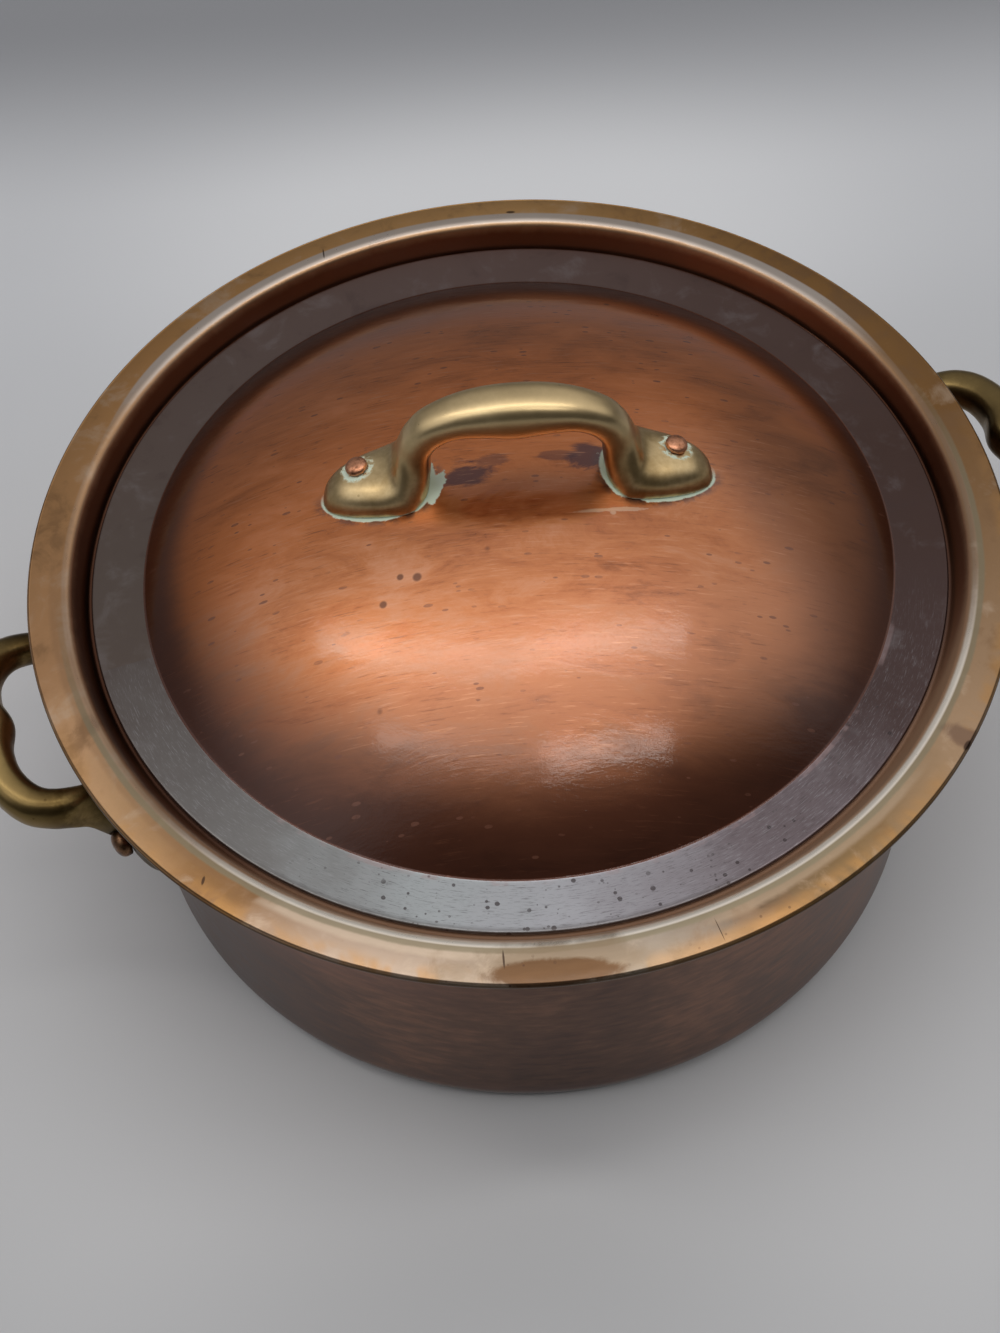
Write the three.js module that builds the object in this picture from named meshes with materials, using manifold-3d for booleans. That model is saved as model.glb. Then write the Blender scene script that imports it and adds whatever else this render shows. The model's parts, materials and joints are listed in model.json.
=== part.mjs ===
// Copper casserole pot with a drop-in lid, in millimetres, +Z up.
// The origin is the middle of the base on the surface it stands on, and +X runs through the side handles.

import * as THREE from 'three';
import { mergeVertices } from 'three/addons/utils/BufferGeometryUtils.js';
import Module from 'manifold-3d';

const wasm = await Module();
wasm.setup();

const radians = THREE.MathUtils.degToRad;

// Pot shell
const INNER_RADIUS = 120;          // bore just under the lid's seat
const WALL = 2;                    // sheet thickness
const POT_HEIGHT = 120.7;          // table to the top of the rim
const CORNER_RADIUS = 12;          // outside of the bottom corner
const SEAT_DEPTH = 8.2;            // top of the rim down to the lid's seat
const SHOULDER_RADIUS = 2.5;       // inside edge of the seat
const SEAT_WIDTH = 3.8;            // bore to where the seat starts to turn up
const SEAT_CORNER = 1;             // hollow between the seat and the flared wall
const CREST_REACH = 10.5;          // bore to the top of the rim
const CREST_RADIUS = 3;            // outside of the bend there
const RIM_REACH = 21;              // bore to the edge of the turned-out flange
const FLANGE_SLOPE = radians(5);   // how far below level the flange starts
const EDGE_SLOPE = radians(13);    // how far below level it ends

// Lid
const LID_SHEET = 1.6;
const LID_EDGE_CLEARANCE = 0.4;    // lid edge to the flared wall
const LID_SEAT_CLEARANCE = 0.3;    // under the ring
const DOME_HEIGHT = 37.5;          // top of the dome above the ring
const RING_WIDTH = 14.8;           // flat ring, from the lid's edge to the foot of the dome
const DOME_FOOT_BEND = 2.4;        // middle line of the sheet where the dome meets the ring

// Handles
const PAD_CLEARANCE = 0.3;         // under every pad
const LID_HANDLE_TURN = radians(-14.8);
const LID_HANDLE_SHIFT = 1.4;      // off the middle of the lid, along the bow
const LID_RIVET_REACH = 42;        // middle of the handle to each rivet
const LID_RIVET_ASIDE = 2;         // off the middle line of the pads, to the back
const LID_PAD_TOP = 8;             // pad thickness at the rivet
const LID_HANDLE_HEIGHT = 30.8;    // top of the bow above the dome
const SIDE_RIVET_REACH = 32.6;
const SIDE_PAD_TOP = 13;
const SIDE_HANDLE_DROP = 33.2;     // top of the rim down to the rivets
const SIDE_HANDLE_RISE = 19.5;     // how far the grip stands above the rivets
const SIDE_HANDLE_REACH = 44.7;    // wall to the outside of the grip

// Rivets
const HOLE_CLEARANCE = 0.3;        // each side of a shank, and round a dome
const HEAD_CLEARANCE = 0.3;        // under each head
const SPOT_DEPTH = 0.5;            // flat spot in the pad under a dome
const LID_RIVET = { shank: 1.9, head: 3.1, dome: 2.2, tail: 3.4, tailHeight: 1.1 };
const SIDE_RIVET = { shank: 2.6, head: 4.1, dome: 4.2, tail: 4.6, tailHeight: 1.4 };

// Facets
const ROUND_STEPS = 64;
const HANDLE_STATIONS = 25;
const HANDLE_SIDES = 12;
const RIVET_SIDES = 12;

// Finishes
const COPPER = { color: 0xa85f3c, roughness: 0.35, metalness: 1 };
const DARK_COPPER = { color: 0x6a4638, roughness: 0.5, metalness: 1 };
const BRASS = { color: 0x8a7440, roughness: 0.4, metalness: 1 };

// Levels and radii that follow from the sizes above
const SEAT_LEVEL = POT_HEIGHT - SEAT_DEPTH;
const OUTER_RADIUS = INNER_RADIUS + WALL;
const SEAT_RADIUS = INNER_RADIUS + SEAT_WIDTH;
const RIM_RADIUS = INNER_RADIUS + RIM_REACH;
const LID_RADIUS = SEAT_RADIUS - LID_EDGE_CLEARANCE;
const DOME_FOOT_RADIUS = LID_RADIUS - RING_WIDTH;
const DOME_TOP = SEAT_LEVEL + LID_SEAT_CLEARANCE + LID_SHEET + DOME_HEIGHT;
const DOME_AND_FOOT = (DOME_FOOT_RADIUS ** 2 + DOME_HEIGHT ** 2) / (2 * DOME_HEIGHT);
const DOME_BEND = DOME_AND_FOOT - DOME_FOOT_BEND;
const DOME_FACE = DOME_BEND + LID_SHEET / 2;
const SIDE_RIVET_LEVEL = POT_HEIGHT - SIDE_HANDLE_DROP;

// A sheet's section, drawn as straight runs and bends of its middle line
class SheetSection {
  constructor(radius, level, thickness) {
    this.at = new THREE.Vector2(radius, level);
    this.heading = 0;
    this.half = thickness / 2;
    this.left = [];
    this.right = [];
    this.mark();
  }

  mark() {
    const side = new THREE.Vector2(-Math.sin(this.heading), Math.cos(this.heading));
    this.left.push(this.at.clone().addScaledVector(side, this.half));
    this.right.push(this.at.clone().addScaledVector(side, -this.half));
  }

  run(length) {
    this.at.x += length * Math.cos(this.heading);
    this.at.y += length * Math.sin(this.heading);
    this.mark();
    return this;
  }

  // Turns by an angle, left when it is positive, round a bend of the given radius
  bend(angle, radius, steps) {
    const turn = Math.sign(angle);
    const centre = new THREE.Vector2(-Math.sin(this.heading), Math.cos(this.heading));
    centre.multiplyScalar(turn * radius).add(this.at);
    for (let step = 1; step <= steps; step += 1) {
      this.heading += angle / steps;
      this.at.x = centre.x + turn * radius * Math.sin(this.heading);
      this.at.y = centre.y - turn * radius * Math.cos(this.heading);
      this.mark();
    }
    return this;
  }

  // The closed outline of a sheet that starts on the axis, with its far edge rounded over
  outline() {
    const back = new THREE.Vector2(Math.cos(this.heading), Math.sin(this.heading));
    back.multiplyScalar(-this.half / 2);
    const right = this.right.with(-1, this.right.at(-1).clone().add(back));
    const left = this.left.with(-1, this.left.at(-1).clone().add(back));
    return [...right, this.at.clone(), ...left.toReversed()];
  }

  // Everything under the sheet's upper face, down to a level
  roomBelow(level) {
    const edge = this.left.at(-1).x;
    return [new THREE.Vector2(0, level), new THREE.Vector2(edge, level), ...this.left.toReversed()];
  }
}

function toVectors(points) {
  return points.map(([x, y]) => new THREE.Vector2(x, y));
}

// Turns an outline of radius and level round the Z axis
function turned(outline, steps = ROUND_STEPS) {
  return new THREE.LatheGeometry(outline, steps).rotateX(Math.PI / 2);
}

function toSolid(geometry) {
  const bare = geometry.clone();
  bare.deleteAttribute('normal');
  bare.deleteAttribute('uv');
  const merged = mergeVertices(bare);
  return new wasm.Manifold(new wasm.Mesh({
    numProp: 3,
    vertProperties: new Float32Array(merged.attributes.position.array),
    triVerts: new Uint32Array(merged.index.array),
  }));
}

function toGeometry(solid) {
  const { vertProperties, triVerts } = solid.getMesh();
  const geometry = new THREE.BufferGeometry();
  geometry.setAttribute('position', new THREE.BufferAttribute(vertProperties, 3));
  geometry.setIndex(new THREE.BufferAttribute(triVerts, 1));
  geometry.computeVertexNormals();
  return geometry;
}

function cutFrom(geometry, tools) {
  return toGeometry(tools.reduce((solid, tool) => solid.subtract(toSolid(tool)), toSolid(geometry)));
}

function named(name, geometry, finish, frame = new THREE.Matrix4()) {
  const mesh = new THREE.Mesh(geometry, new THREE.MeshStandardMaterial(finish));
  mesh.name = name;
  mesh.applyMatrix4(frame);
  return mesh;
}

// Pot shell: base, corner, wall, lid seat, flared wall and the flange that it turns out into
function potSection() {
  const half = WALL / 2;
  const cornerBend = CORNER_RADIUS - half;
  const shoulderBend = SHOULDER_RADIUS - half;
  const seatBend = SEAT_CORNER + half;
  const crestBend = CREST_RADIUS - half;
  const crestCentre = new THREE.Vector2(INNER_RADIUS + CREST_REACH, POT_HEIGHT - CREST_RADIUS);
  const seatCentre = new THREE.Vector2(SEAT_RADIUS, SEAT_LEVEL - half + seatBend);
  const apart = crestCentre.clone().sub(seatCentre);
  const bends = seatBend + crestBend;
  const flare = apart.angle() + Math.asin(bends / apart.length());
  const flangeWidth = RIM_RADIUS - crestCentre.x - crestBend * Math.sin(FLANGE_SLOPE);
  const flangeBend = flangeWidth / (Math.sin(EDGE_SLOPE) - Math.sin(FLANGE_SLOPE));
  return new SheetSection(0, half, WALL)
    .run(INNER_RADIUS + half - cornerBend)
    .bend(Math.PI / 2, cornerBend, 4)
    .run(SEAT_LEVEL - half - shoulderBend - CORNER_RADIUS)
    .bend(-Math.PI / 2, shoulderBend, 2)
    .run(SEAT_RADIUS - INNER_RADIUS - half - shoulderBend)
    .bend(flare, seatBend, 2)
    .run(Math.sqrt(apart.lengthSq() - bends ** 2))
    .bend(-flare - FLANGE_SLOPE, crestBend, 5)
    .bend(FLANGE_SLOPE - EDGE_SLOPE, flangeBend, 3);
}

// Lid: dome, foot bend and flat ring. Extra thickness grows both faces and keeps the middle line.
function lidSection(extra = 0) {
  const footAngle = Math.asin(DOME_FOOT_RADIUS / DOME_AND_FOOT);
  return new SheetSection(0, DOME_TOP - LID_SHEET / 2, LID_SHEET + 2 * extra)
    .bend(-footAngle, DOME_BEND, 8)
    .bend(footAngle, DOME_FOOT_BEND, 2)
    .run(LID_RADIUS - DOME_FOOT_RADIUS);
}

// A cast handle in its own frame: u along the bow, v across it, w away from the face it sits on.
// Rounded sections join an outer and an inner side outline. These run from the tip of a pad to the middle
// of the bow, with a half width and a sideways rise for each pair of points. The other half is mirrored.
function castHandle({ outer, inner, halfWidths, rises, fullness }) {
  const outerCurve = new THREE.SplineCurve(toVectors(outer));
  const innerCurve = new THREE.SplineCurve(toVectors(inner));
  const across = halfWidths.map((width, index) => [width, rises[index]]);
  const acrossCurve = new THREE.SplineCurve(toVectors(across));
  const rounded = (value) => Math.sign(value) * Math.abs(value) ** fullness;
  const rings = [];
  for (let station = 0; station < HANDLE_STATIONS; station += 1) {
    const place = (2 * station) / (HANDLE_STATIONS - 1) - 1;
    const top = outerCurve.getPoint(1 - Math.abs(place));
    const bottom = innerCurve.getPoint(1 - Math.abs(place));
    const { x: halfWidth, y: rise } = acrossCurve.getPoint(1 - Math.abs(place));
    const ring = [];
    for (let side = 0; side < HANDLE_SIDES; side += 1) {
      const angle = (2 * Math.PI * side) / HANDLE_SIDES;
      const point = bottom.clone().lerp(top, (1 + rounded(Math.sin(angle))) / 2);
      const sideways = rise + halfWidth * rounded(Math.cos(angle));
      ring.push(new THREE.Vector3(Math.sign(place) * point.x, sideways, point.y));
    }
    rings.push(ring);
  }
  return skinned(rings);
}

// Joins rings of equal count into one closed skin, with a fan on each end
function skinned(rings) {
  const count = rings[0].length;
  const ends = [rings[0], rings.at(-1)].map((ring) => {
    const sum = ring.reduce((total, point) => total.add(point), new THREE.Vector3());
    return sum.divideScalar(count);
  });
  const points = [...rings.flat(), ...ends];
  const last = (rings.length - 1) * count;
  const faces = [];
  for (let side = 0; side < count; side += 1) {
    const next = (side + 1) % count;
    for (let row = 0; row < last; row += count) {
      faces.push(row + side, row + next, row + count + side);
      faces.push(row + next, row + count + next, row + count + side);
    }
    faces.push(points.length - 2, next, side);
    faces.push(points.length - 1, last + side, last + next);
  }
  const geometry = new THREE.BufferGeometry().setFromPoints(points);
  geometry.setIndex(faces);
  return geometry;
}

// A point of a side outline at a distance u from the middle and a height above a round face
function onFace(faceRadius, u, height) {
  return [u, height - faceRadius + Math.sqrt(faceRadius ** 2 - u ** 2)];
}

function lidHandleShape() {
  const pad = (u, height) => onFace(DOME_FACE, u, height);
  const reach = LID_RIVET_REACH;
  const thick = LID_PAD_TOP;
  const high = LID_HANDLE_HEIGHT;
  const leg = reach - 8.8;
  return {
    outer: [
      pad(reach + 12.3, 0.2), pad(reach + 10.9, thick * 0.55), pad(reach + 7.1, thick * 0.9),
      pad(reach + 1.4, thick), pad(reach - 4.4, thick + 0.3), pad(reach - 7.6, thick + 1.6),
      [leg, high * 0.3], [leg - 1.1, high * 0.43], [leg - 3.4, high - 12.4], [leg * 0.77, high - 7.3],
      [leg * 0.536, high - 3.1], [leg * 0.277, high - 0.8], [0, high],
    ],
    inner: [
      pad(reach + 11.3, -2), pad(reach + 10.1, -4), pad(reach + 6.7, -5), pad(reach + 1.4, -5),
      pad(reach - 5.6, -5), pad(reach - 14, -5.4), [leg - 8.3, -4], [leg - 9.6, 4.1],
      [leg - 10.2, high * 0.35], [leg * 0.602, high - 15.6], [leg * 0.461, high - 13],
      [leg * 0.253, high - 12.9], [0, high - 14],
    ],
    halfWidths: [2, 4.6, 7.2, 9.4, 10.9, 11.3, 9.4, 6.5, 5.6, 5.6, 6.1, 6.8, 7.1],
    rises: Array(13).fill(0),
    fullness: 0.8,
  };
}

function sideHandleShape() {
  const pad = (u, height) => onFace(OUTER_RADIUS, u, height);
  const reach = SIDE_RIVET_REACH;
  const thick = SIDE_PAD_TOP;
  const far = SIDE_HANDLE_REACH;
  const between = (share) => thick + share * (far - thick);
  const shares = [0, 0, 0, 0.02, 0.09, 0.25, 0.48, 0.64, 0.73, 0.82, 0.92, 0.98, 1];
  return {
    outer: [
      pad(reach + 15.9, 1.5), pad(reach + 15.2, thick - 5.5), pad(reach + 12, thick - 1),
      pad(reach + 7, thick + 0.2), pad(reach + 3, thick + 0.4), [reach - 0.2, thick + 0.8],
      [reach - 0.2, between(0.142)], [reach + 0.8, between(0.268)], [reach + 0.2, between(0.442)],
      [reach - 2.6, far - 11.2], [reach * 0.724, far - 6.1], [reach * 0.399, far - 2.4], [0, far],
    ],
    inner: [
      pad(reach + 14.9, -3), pad(reach + 13.8, -5), pad(reach + 10.4, -6), pad(reach + 5.2, -6),
      pad(reach, -6), pad(reach - 5.6, -6), [reach - 10.8, -4.5], [reach - 9, 5],
      [reach - 8.2, between(0.126)], [reach - 9.8, between(0.385)], [reach * 0.503, far - 14.8],
      [reach * 0.245, far - 13.8], [0, far - 15.7],
    ],
    halfWidths: [4, 7.8, 10.2, 10.8, 10.2, 9, 7.3, 5.9, 5.7, 5.5, 5.6, 6.4, 7.2],
    rises: shares.map((share) => share * SIDE_HANDLE_RISE),
    fullness: 0.84,
  };
}

// A rivet on its own Z axis: its dome sits on level 0, and it holds the stack below that
function rivetShape({ shank, head, dome, tail, tailHeight }, stack) {
  const seat = HEAD_CLEARANCE;
  const back = -stack - HEAD_CLEARANCE;
  return turned(toVectors([
    [0, back - tailHeight],
    [tail * 0.8, back - tailHeight],
    [tail, back - tailHeight / 2],
    [tail, back],
    [shank, back],
    [shank, seat],
    [head, seat],
    [head, seat + dome * 0.35],
    [head * 0.87, seat + dome * 0.68],
    [head * 0.5, seat + dome * 0.92],
    [0, seat + dome],
  ]), RIVET_SIDES);
}

// What a rivet needs cleared: its hole through the stack, and a flat spot for its dome
function rivetRoom({ shank, head, dome, tailHeight }, stack) {
  const hole = shank + HOLE_CLEARANCE;
  const spot = head + HOLE_CLEARANCE;
  const bottom = -stack - HEAD_CLEARANCE - tailHeight;
  const points = [[0, bottom], [hole, bottom], [hole, 0], [spot, 0], [spot, 2 * dome], [0, 2 * dome]];
  return turned(toVectors(points), RIVET_SIDES);
}

// The frame of a rivet that stands square on a round face, in the frame of its handle
function rivetFrame(reach, aside, faceRadius, seat) {
  return new THREE.Matrix4()
    .makeTranslation(0, 0, -faceRadius)
    .multiply(new THREE.Matrix4().makeRotationX(-aside / faceRadius))
    .multiply(new THREE.Matrix4().makeRotationY(Math.asin(reach / faceRadius)))
    .multiply(new THREE.Matrix4().makeTranslation(0, 0, faceRadius + seat));
}

// A handle with its two rivets, and the holes that they need in the sheet it is fixed to
function rivetedHandle({ names, frame, shape, faceRadius, reach, aside, padTop, sheet, rivet, under }) {
  const seat = padTop - SPOT_DEPTH;
  const stack = seat + sheet;
  const rivetFrames = [-reach, reach].map((side) => rivetFrame(side, aside, faceRadius, seat));
  const rooms = rivetFrames.map((spot) => rivetRoom(rivet, stack).applyMatrix4(spot));
  const casting = cutFrom(shape, [under.applyMatrix4(frame.clone().invert()), ...rooms]);
  const group = new THREE.Group();
  group.add(named(names[0], casting, BRASS));
  rivetFrames.forEach((spot, index) => {
    group.add(named(names[index + 1], rivetShape(rivet, stack), COPPER, spot));
  });
  group.applyMatrix4(frame);
  return { group, holes: rooms.map((room) => room.clone().applyMatrix4(frame)) };
}

// The lid handle's frame is slid along the dome from its top, so that the pads still fit
function lidHandle() {
  const slide = new THREE.Matrix4().makeRotationY(LID_HANDLE_SHIFT / DOME_FACE);
  const frame = new THREE.Matrix4()
    .makeRotationZ(LID_HANDLE_TURN)
    .setPosition(0, 0, DOME_TOP - DOME_FACE)
    .multiply(slide)
    .multiply(new THREE.Matrix4().makeTranslation(0, 0, DOME_FACE));
  return rivetedHandle({
    names: ['lid_handle', 'lid_rivet_left', 'lid_rivet_right'],
    frame,
    shape: castHandle(lidHandleShape()),
    faceRadius: DOME_FACE,
    reach: LID_RIVET_REACH,
    aside: LID_RIVET_ASIDE,
    padTop: LID_PAD_TOP,
    sheet: LID_SHEET,
    rivet: LID_RIVET,
    under: turned(lidSection(PAD_CLEARANCE).roomBelow(0)),
  });
}

// The left handle's frame has u to the front, v up and w out to the left. The right one is half a turn on.
function sideHandle(names, turn) {
  const frame = new THREE.Matrix4().makeBasis(
    new THREE.Vector3(0, -1, 0),
    new THREE.Vector3(0, 0, 1),
    new THREE.Vector3(-1, 0, 0),
  ).setPosition(-OUTER_RADIUS, 0, SIDE_RIVET_LEVEL);
  const wallRoom = OUTER_RADIUS + PAD_CLEARANCE;
  return rivetedHandle({
    names,
    frame: frame.premultiply(new THREE.Matrix4().makeRotationZ(turn)),
    shape: castHandle(sideHandleShape()),
    faceRadius: OUTER_RADIUS,
    reach: SIDE_RIVET_REACH,
    aside: 0,
    padTop: SIDE_PAD_TOP,
    sheet: WALL,
    rivet: SIDE_RIVET,
    under: turned(toVectors([[0, 0], [wallRoom, 0], [wallRoom, POT_HEIGHT], [0, POT_HEIGHT]])),
  });
}

const leftHandle = sideHandle(['side_handle_left', 'left_handle_rivet_back', 'left_handle_rivet_front'], 0);
const rightHandle = sideHandle(
  ['side_handle_right', 'right_handle_rivet_front', 'right_handle_rivet_back'],
  Math.PI,
);
const topHandle = lidHandle();

const potShell = cutFrom(turned(potSection().outline()), [...leftHandle.holes, ...rightHandle.holes]);
const lidShell = cutFrom(turned(lidSection().outline()), topHandle.holes);

const casserole = new THREE.Group();
casserole.add(named('pot_body', potShell, DARK_COPPER), leftHandle.group, rightHandle.group);
casserole.add(named('lid', lidShell, COPPER), topHandle.group);

export default casserole;
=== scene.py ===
"""Looks of a copper casserole pot with a domed lid and brass handles.

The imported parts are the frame, and a smooth, dressed piece stands for each of them. Sizes in the classes are
millimetres, +Z is up, the origin is the middle of the base, and +X runs through the side handles. A mesh is
turned into metres when it is made.
"""

from __future__ import annotations

import json
import logging
import math
from collections.abc import Sequence
from dataclasses import dataclass
from enum import Enum
from functools import partial

import bpy
import numpy as np
from mathutils import Euler, Matrix

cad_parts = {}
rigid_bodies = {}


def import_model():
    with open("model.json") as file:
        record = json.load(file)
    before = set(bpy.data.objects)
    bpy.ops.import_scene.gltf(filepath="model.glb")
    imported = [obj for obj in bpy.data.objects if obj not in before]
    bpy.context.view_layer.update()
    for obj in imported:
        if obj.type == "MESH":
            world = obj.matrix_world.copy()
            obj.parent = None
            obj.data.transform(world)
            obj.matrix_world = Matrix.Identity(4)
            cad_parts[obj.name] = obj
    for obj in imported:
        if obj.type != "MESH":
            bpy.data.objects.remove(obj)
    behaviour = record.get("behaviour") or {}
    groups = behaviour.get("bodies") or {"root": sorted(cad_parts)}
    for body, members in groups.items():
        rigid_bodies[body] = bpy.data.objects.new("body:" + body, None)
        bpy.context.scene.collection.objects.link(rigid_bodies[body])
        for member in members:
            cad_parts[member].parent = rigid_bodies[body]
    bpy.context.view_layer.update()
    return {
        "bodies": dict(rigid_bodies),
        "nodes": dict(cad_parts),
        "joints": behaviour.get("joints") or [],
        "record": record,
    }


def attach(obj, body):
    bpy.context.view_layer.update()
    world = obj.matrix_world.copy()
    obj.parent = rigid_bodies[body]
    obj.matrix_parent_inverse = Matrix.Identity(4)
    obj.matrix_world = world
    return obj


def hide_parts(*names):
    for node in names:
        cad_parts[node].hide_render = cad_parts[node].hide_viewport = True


log = logging.getLogger("casserole")

Points = np.ndarray
Piece = bpy.types.Object
Material = bpy.types.Material
Socket = bpy.types.NodeSocket
Value = float | Socket
Pair = tuple[Value, Value]
Colour = tuple[float, float, float]
Stops = tuple[tuple[float, Colour], ...]

MM = 0.001  # metres
CLEARANCE = 0.3  # between two pieces, in mm
SHARP_EDGE = math.radians(38)
VERDIGRIS: Colour = (0.74, 0.86, 0.7)


class Body(Enum):
    """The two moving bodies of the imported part."""

    POT = "pot"
    LID = "lid"


class Slot(Enum):
    """The record's material slots."""

    POT = "pot_copper"
    LID = "lid_copper"
    BRASS = "cast_brass"
    RIVET = "rivet_copper"


class Side(Enum):
    """Which side handle: its name and its turn round the pot's axis, in degrees."""

    LEFT = ("left", 0.0)
    RIGHT = ("right", 180.0)


# ---------------------------------------------------------------- shapes


def placed(name: str, data: bpy.types.ID) -> Piece:
    """Makes an object and links it to the scene.

    Args:
        name: The object's name.
        data: Its mesh, lamp or camera.

    Returns:
        The new object, at the origin.
    """
    made = bpy.data.objects.new(name, data)
    bpy.context.scene.collection.objects.link(made)
    return made


@dataclass
class Skin:
    """A closed surface of rings with a pole at each end, in millimetres.

    Attributes:
        rings: Rows by columns by 3. Columns run anticlockwise seen against the rows' direction.
        first: The pole before the first ring.
        last: The pole after the last ring.
    """

    rings: Points
    first: Points
    last: Points

    def moved(self, frame: Matrix) -> Skin:
        """Carries the skin by a rigid frame: turn * point + shift.

        Args:
            frame: The 4x4 frame, in mm.

        Returns:
            The moved skin.
        """
        turn = np.array(frame.to_3x3())
        shift = np.array(frame.translation)
        return Skin(self.rings @ turn.T + shift, self.first @ turn.T + shift, self.last @ turn.T + shift)

    def piece(self, name: str) -> Piece:
        """Makes the mesh object: quads between rings, and a fan of triangles on each pole.

        The corner indices are worked out as whole arrays: a point of row i and column j is number
        i * columns + j, and its neighbours are one column and one row on.

        Args:
            name: The object's name.

        Returns:
            The new object, smooth shaded, with its faces pointing outwards.
        """
        rows, columns = self.rings.shape[:2]
        here = np.arange(rows * columns).reshape(rows, columns)
        beside = np.roll(here, -1, axis=1)
        quads = np.stack([here[:-1], beside[:-1], beside[1:], here[1:]], axis=-1).reshape(-1, 4)
        poles = rows * columns + np.array([0, 1])
        low = np.stack([np.full(columns, poles[0]), beside[0], here[0]], axis=-1)
        high = np.stack([np.full(columns, poles[1]), here[-1], beside[-1]], axis=-1)
        corners = np.concatenate([quads.ravel(), low.ravel(), high.ravel()])
        starts = np.concatenate([np.arange(len(quads)) * 4, len(quads) * 4 + np.arange(2 * columns) * 3])
        points = np.concatenate([self.rings.reshape(-1, 3), [self.first, self.last]]) * MM
        mesh = bpy.data.meshes.new(name)
        mesh.vertices.add(len(points))
        mesh.vertices.foreach_set("co", points.astype(np.float32).ravel())
        mesh.loops.add(len(corners))
        mesh.loops.foreach_set("vertex_index", corners.astype(np.int32))
        mesh.polygons.add(len(starts))
        mesh.polygons.foreach_set("loop_start", starts.astype(np.int32))
        mesh.polygons.foreach_set("use_smooth", np.ones(len(starts), bool))
        mesh.update(calc_edges=True)
        return placed(name, mesh)


def turned(outline: Points, steps: int) -> Skin:
    """Turns a closed outline round the Z axis: x = r cos a, y = r sin a, z = level.

    Args:
        outline: Rows of radius and level, in mm. The first and last rows are on the axis.
        steps: Columns round the axis.

    Returns:
        The skin of the turned solid.
    """
    angle = np.linspace(0, 2 * np.pi, steps, endpoint=False)
    radius, level = outline[1:-1, 0:1], outline[1:-1, 1:2]
    rings = np.stack([radius * np.cos(angle), radius * np.sin(angle), level + 0 * angle], axis=-1)
    return Skin(rings, np.array([0, 0, outline[0, 1]]), np.array([0, 0, outline[-1, 1]]))


def drum(radius: float, low: float, high: float, steps: int) -> Skin:
    """Returns a closed cylinder on the Z axis between two levels, in mm."""
    return turned(np.array([[0.0, low], [radius, low], [radius, high], [0.0, high]]), steps)


class SheetPath:
    """The middle line of a bent sheet in a half plane of radius and level, with its heading at each point."""

    def __init__(self, radius: float, level: float, thickness: float) -> None:
        """Starts the line.

        Args:
            radius: Radius of the first point, in mm.
            level: Height of the first point, in mm.
            thickness: Thickness of the sheet, in mm.
        """
        self.half = thickness / 2
        self.line = np.array([[radius, level]])
        self.heading = np.zeros(1)

    def run(self, length: float, step: float = 2.5) -> SheetPath:
        """Goes straight on: point + length * (cos h, sin h).

        Args:
            length: How far, in mm.
            step: Most millimetres between points.

        Returns:
            The same path.
        """
        share = np.linspace(0, 1, max(1, math.ceil(length / step)) + 1)[1:, None]
        now = self.heading[-1]
        ahead = self.line[-1] + share * length * np.array([math.cos(now), math.sin(now)])
        self.line = np.concatenate([self.line, ahead])
        self.heading = np.concatenate([self.heading, np.full(len(ahead), now)])
        return self

    def bend(self, angle: float, radius: float, step: float = 5.0) -> SheetPath:
        """Goes round an arc: centre + side * radius * (sin h, -cos h), where h grows by the angle.

        Args:
            angle: Change of heading in radians, left when it is positive.
            radius: Radius of the middle line, in mm.
            step: Most degrees between points.

        Returns:
            The same path.
        """
        side = math.copysign(1.0, angle)
        now = self.heading[-1]
        centre = self.line[-1] + side * radius * np.array([-math.sin(now), math.cos(now)])
        count = max(2, math.ceil(abs(math.degrees(angle)) / step))
        heading = now + angle * np.linspace(0, 1, count + 1)[1:]
        arc = centre + side * radius * np.stack([np.sin(heading), -np.cos(heading)], axis=-1)
        self.line = np.concatenate([self.line, arc])
        self.heading = np.concatenate([self.heading, heading])
        return self

    def faces(self) -> tuple[Points, Points]:
        """Returns the right and left faces: the line moved half a thickness along its normals."""
        across = np.stack([-np.sin(self.heading), np.cos(self.heading)], axis=-1) * self.half
        return self.line - across, self.line + across

    def outline(self) -> Points:
        """Returns the closed outline from the axis, along the right face, round the edge and back."""
        right, left = self.faces()
        ahead = np.array([math.cos(self.heading[-1]), math.sin(self.heading[-1])])
        across = np.array([-ahead[1], ahead[0]])
        depth = 0.8 * self.half
        turn = np.radians(np.linspace(-90, 90, 11))[:, None]
        nose = self.line[-1] - depth * ahead + depth * np.cos(turn) * ahead + self.half * np.sin(turn) * across
        return np.concatenate([right[:-1], nose, left[-2::-1]])


def spline(points: Points, spans: int) -> Points:
    """Runs a Catmull-Rom curve through the points.

    Between two points it is the cubic 0.5 * (2b + (c - a)t + (2a - 5b + 4c - d)t^2 + (3b - a - 3c + d)t^3).

    Args:
        points: Rows of any width.
        spans: Steps between two neighbouring points.

    Returns:
        The curve's points, both ends included.
    """
    padded = np.concatenate([points[:1], points, points[-1:]])
    a, b, c, d = (padded[i : len(points) - 1 + i, None] for i in range(4))
    t = (np.arange(spans) / spans)[None, :, None]
    curve = 0.5 * (2 * b + (c - a) * t + (2 * a - 5 * b + 4 * c - d) * t**2 + (3 * b - a - 3 * c + d) * t**3)
    return np.concatenate([curve.reshape(-1, points.shape[1]), points[-1:]])


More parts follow.
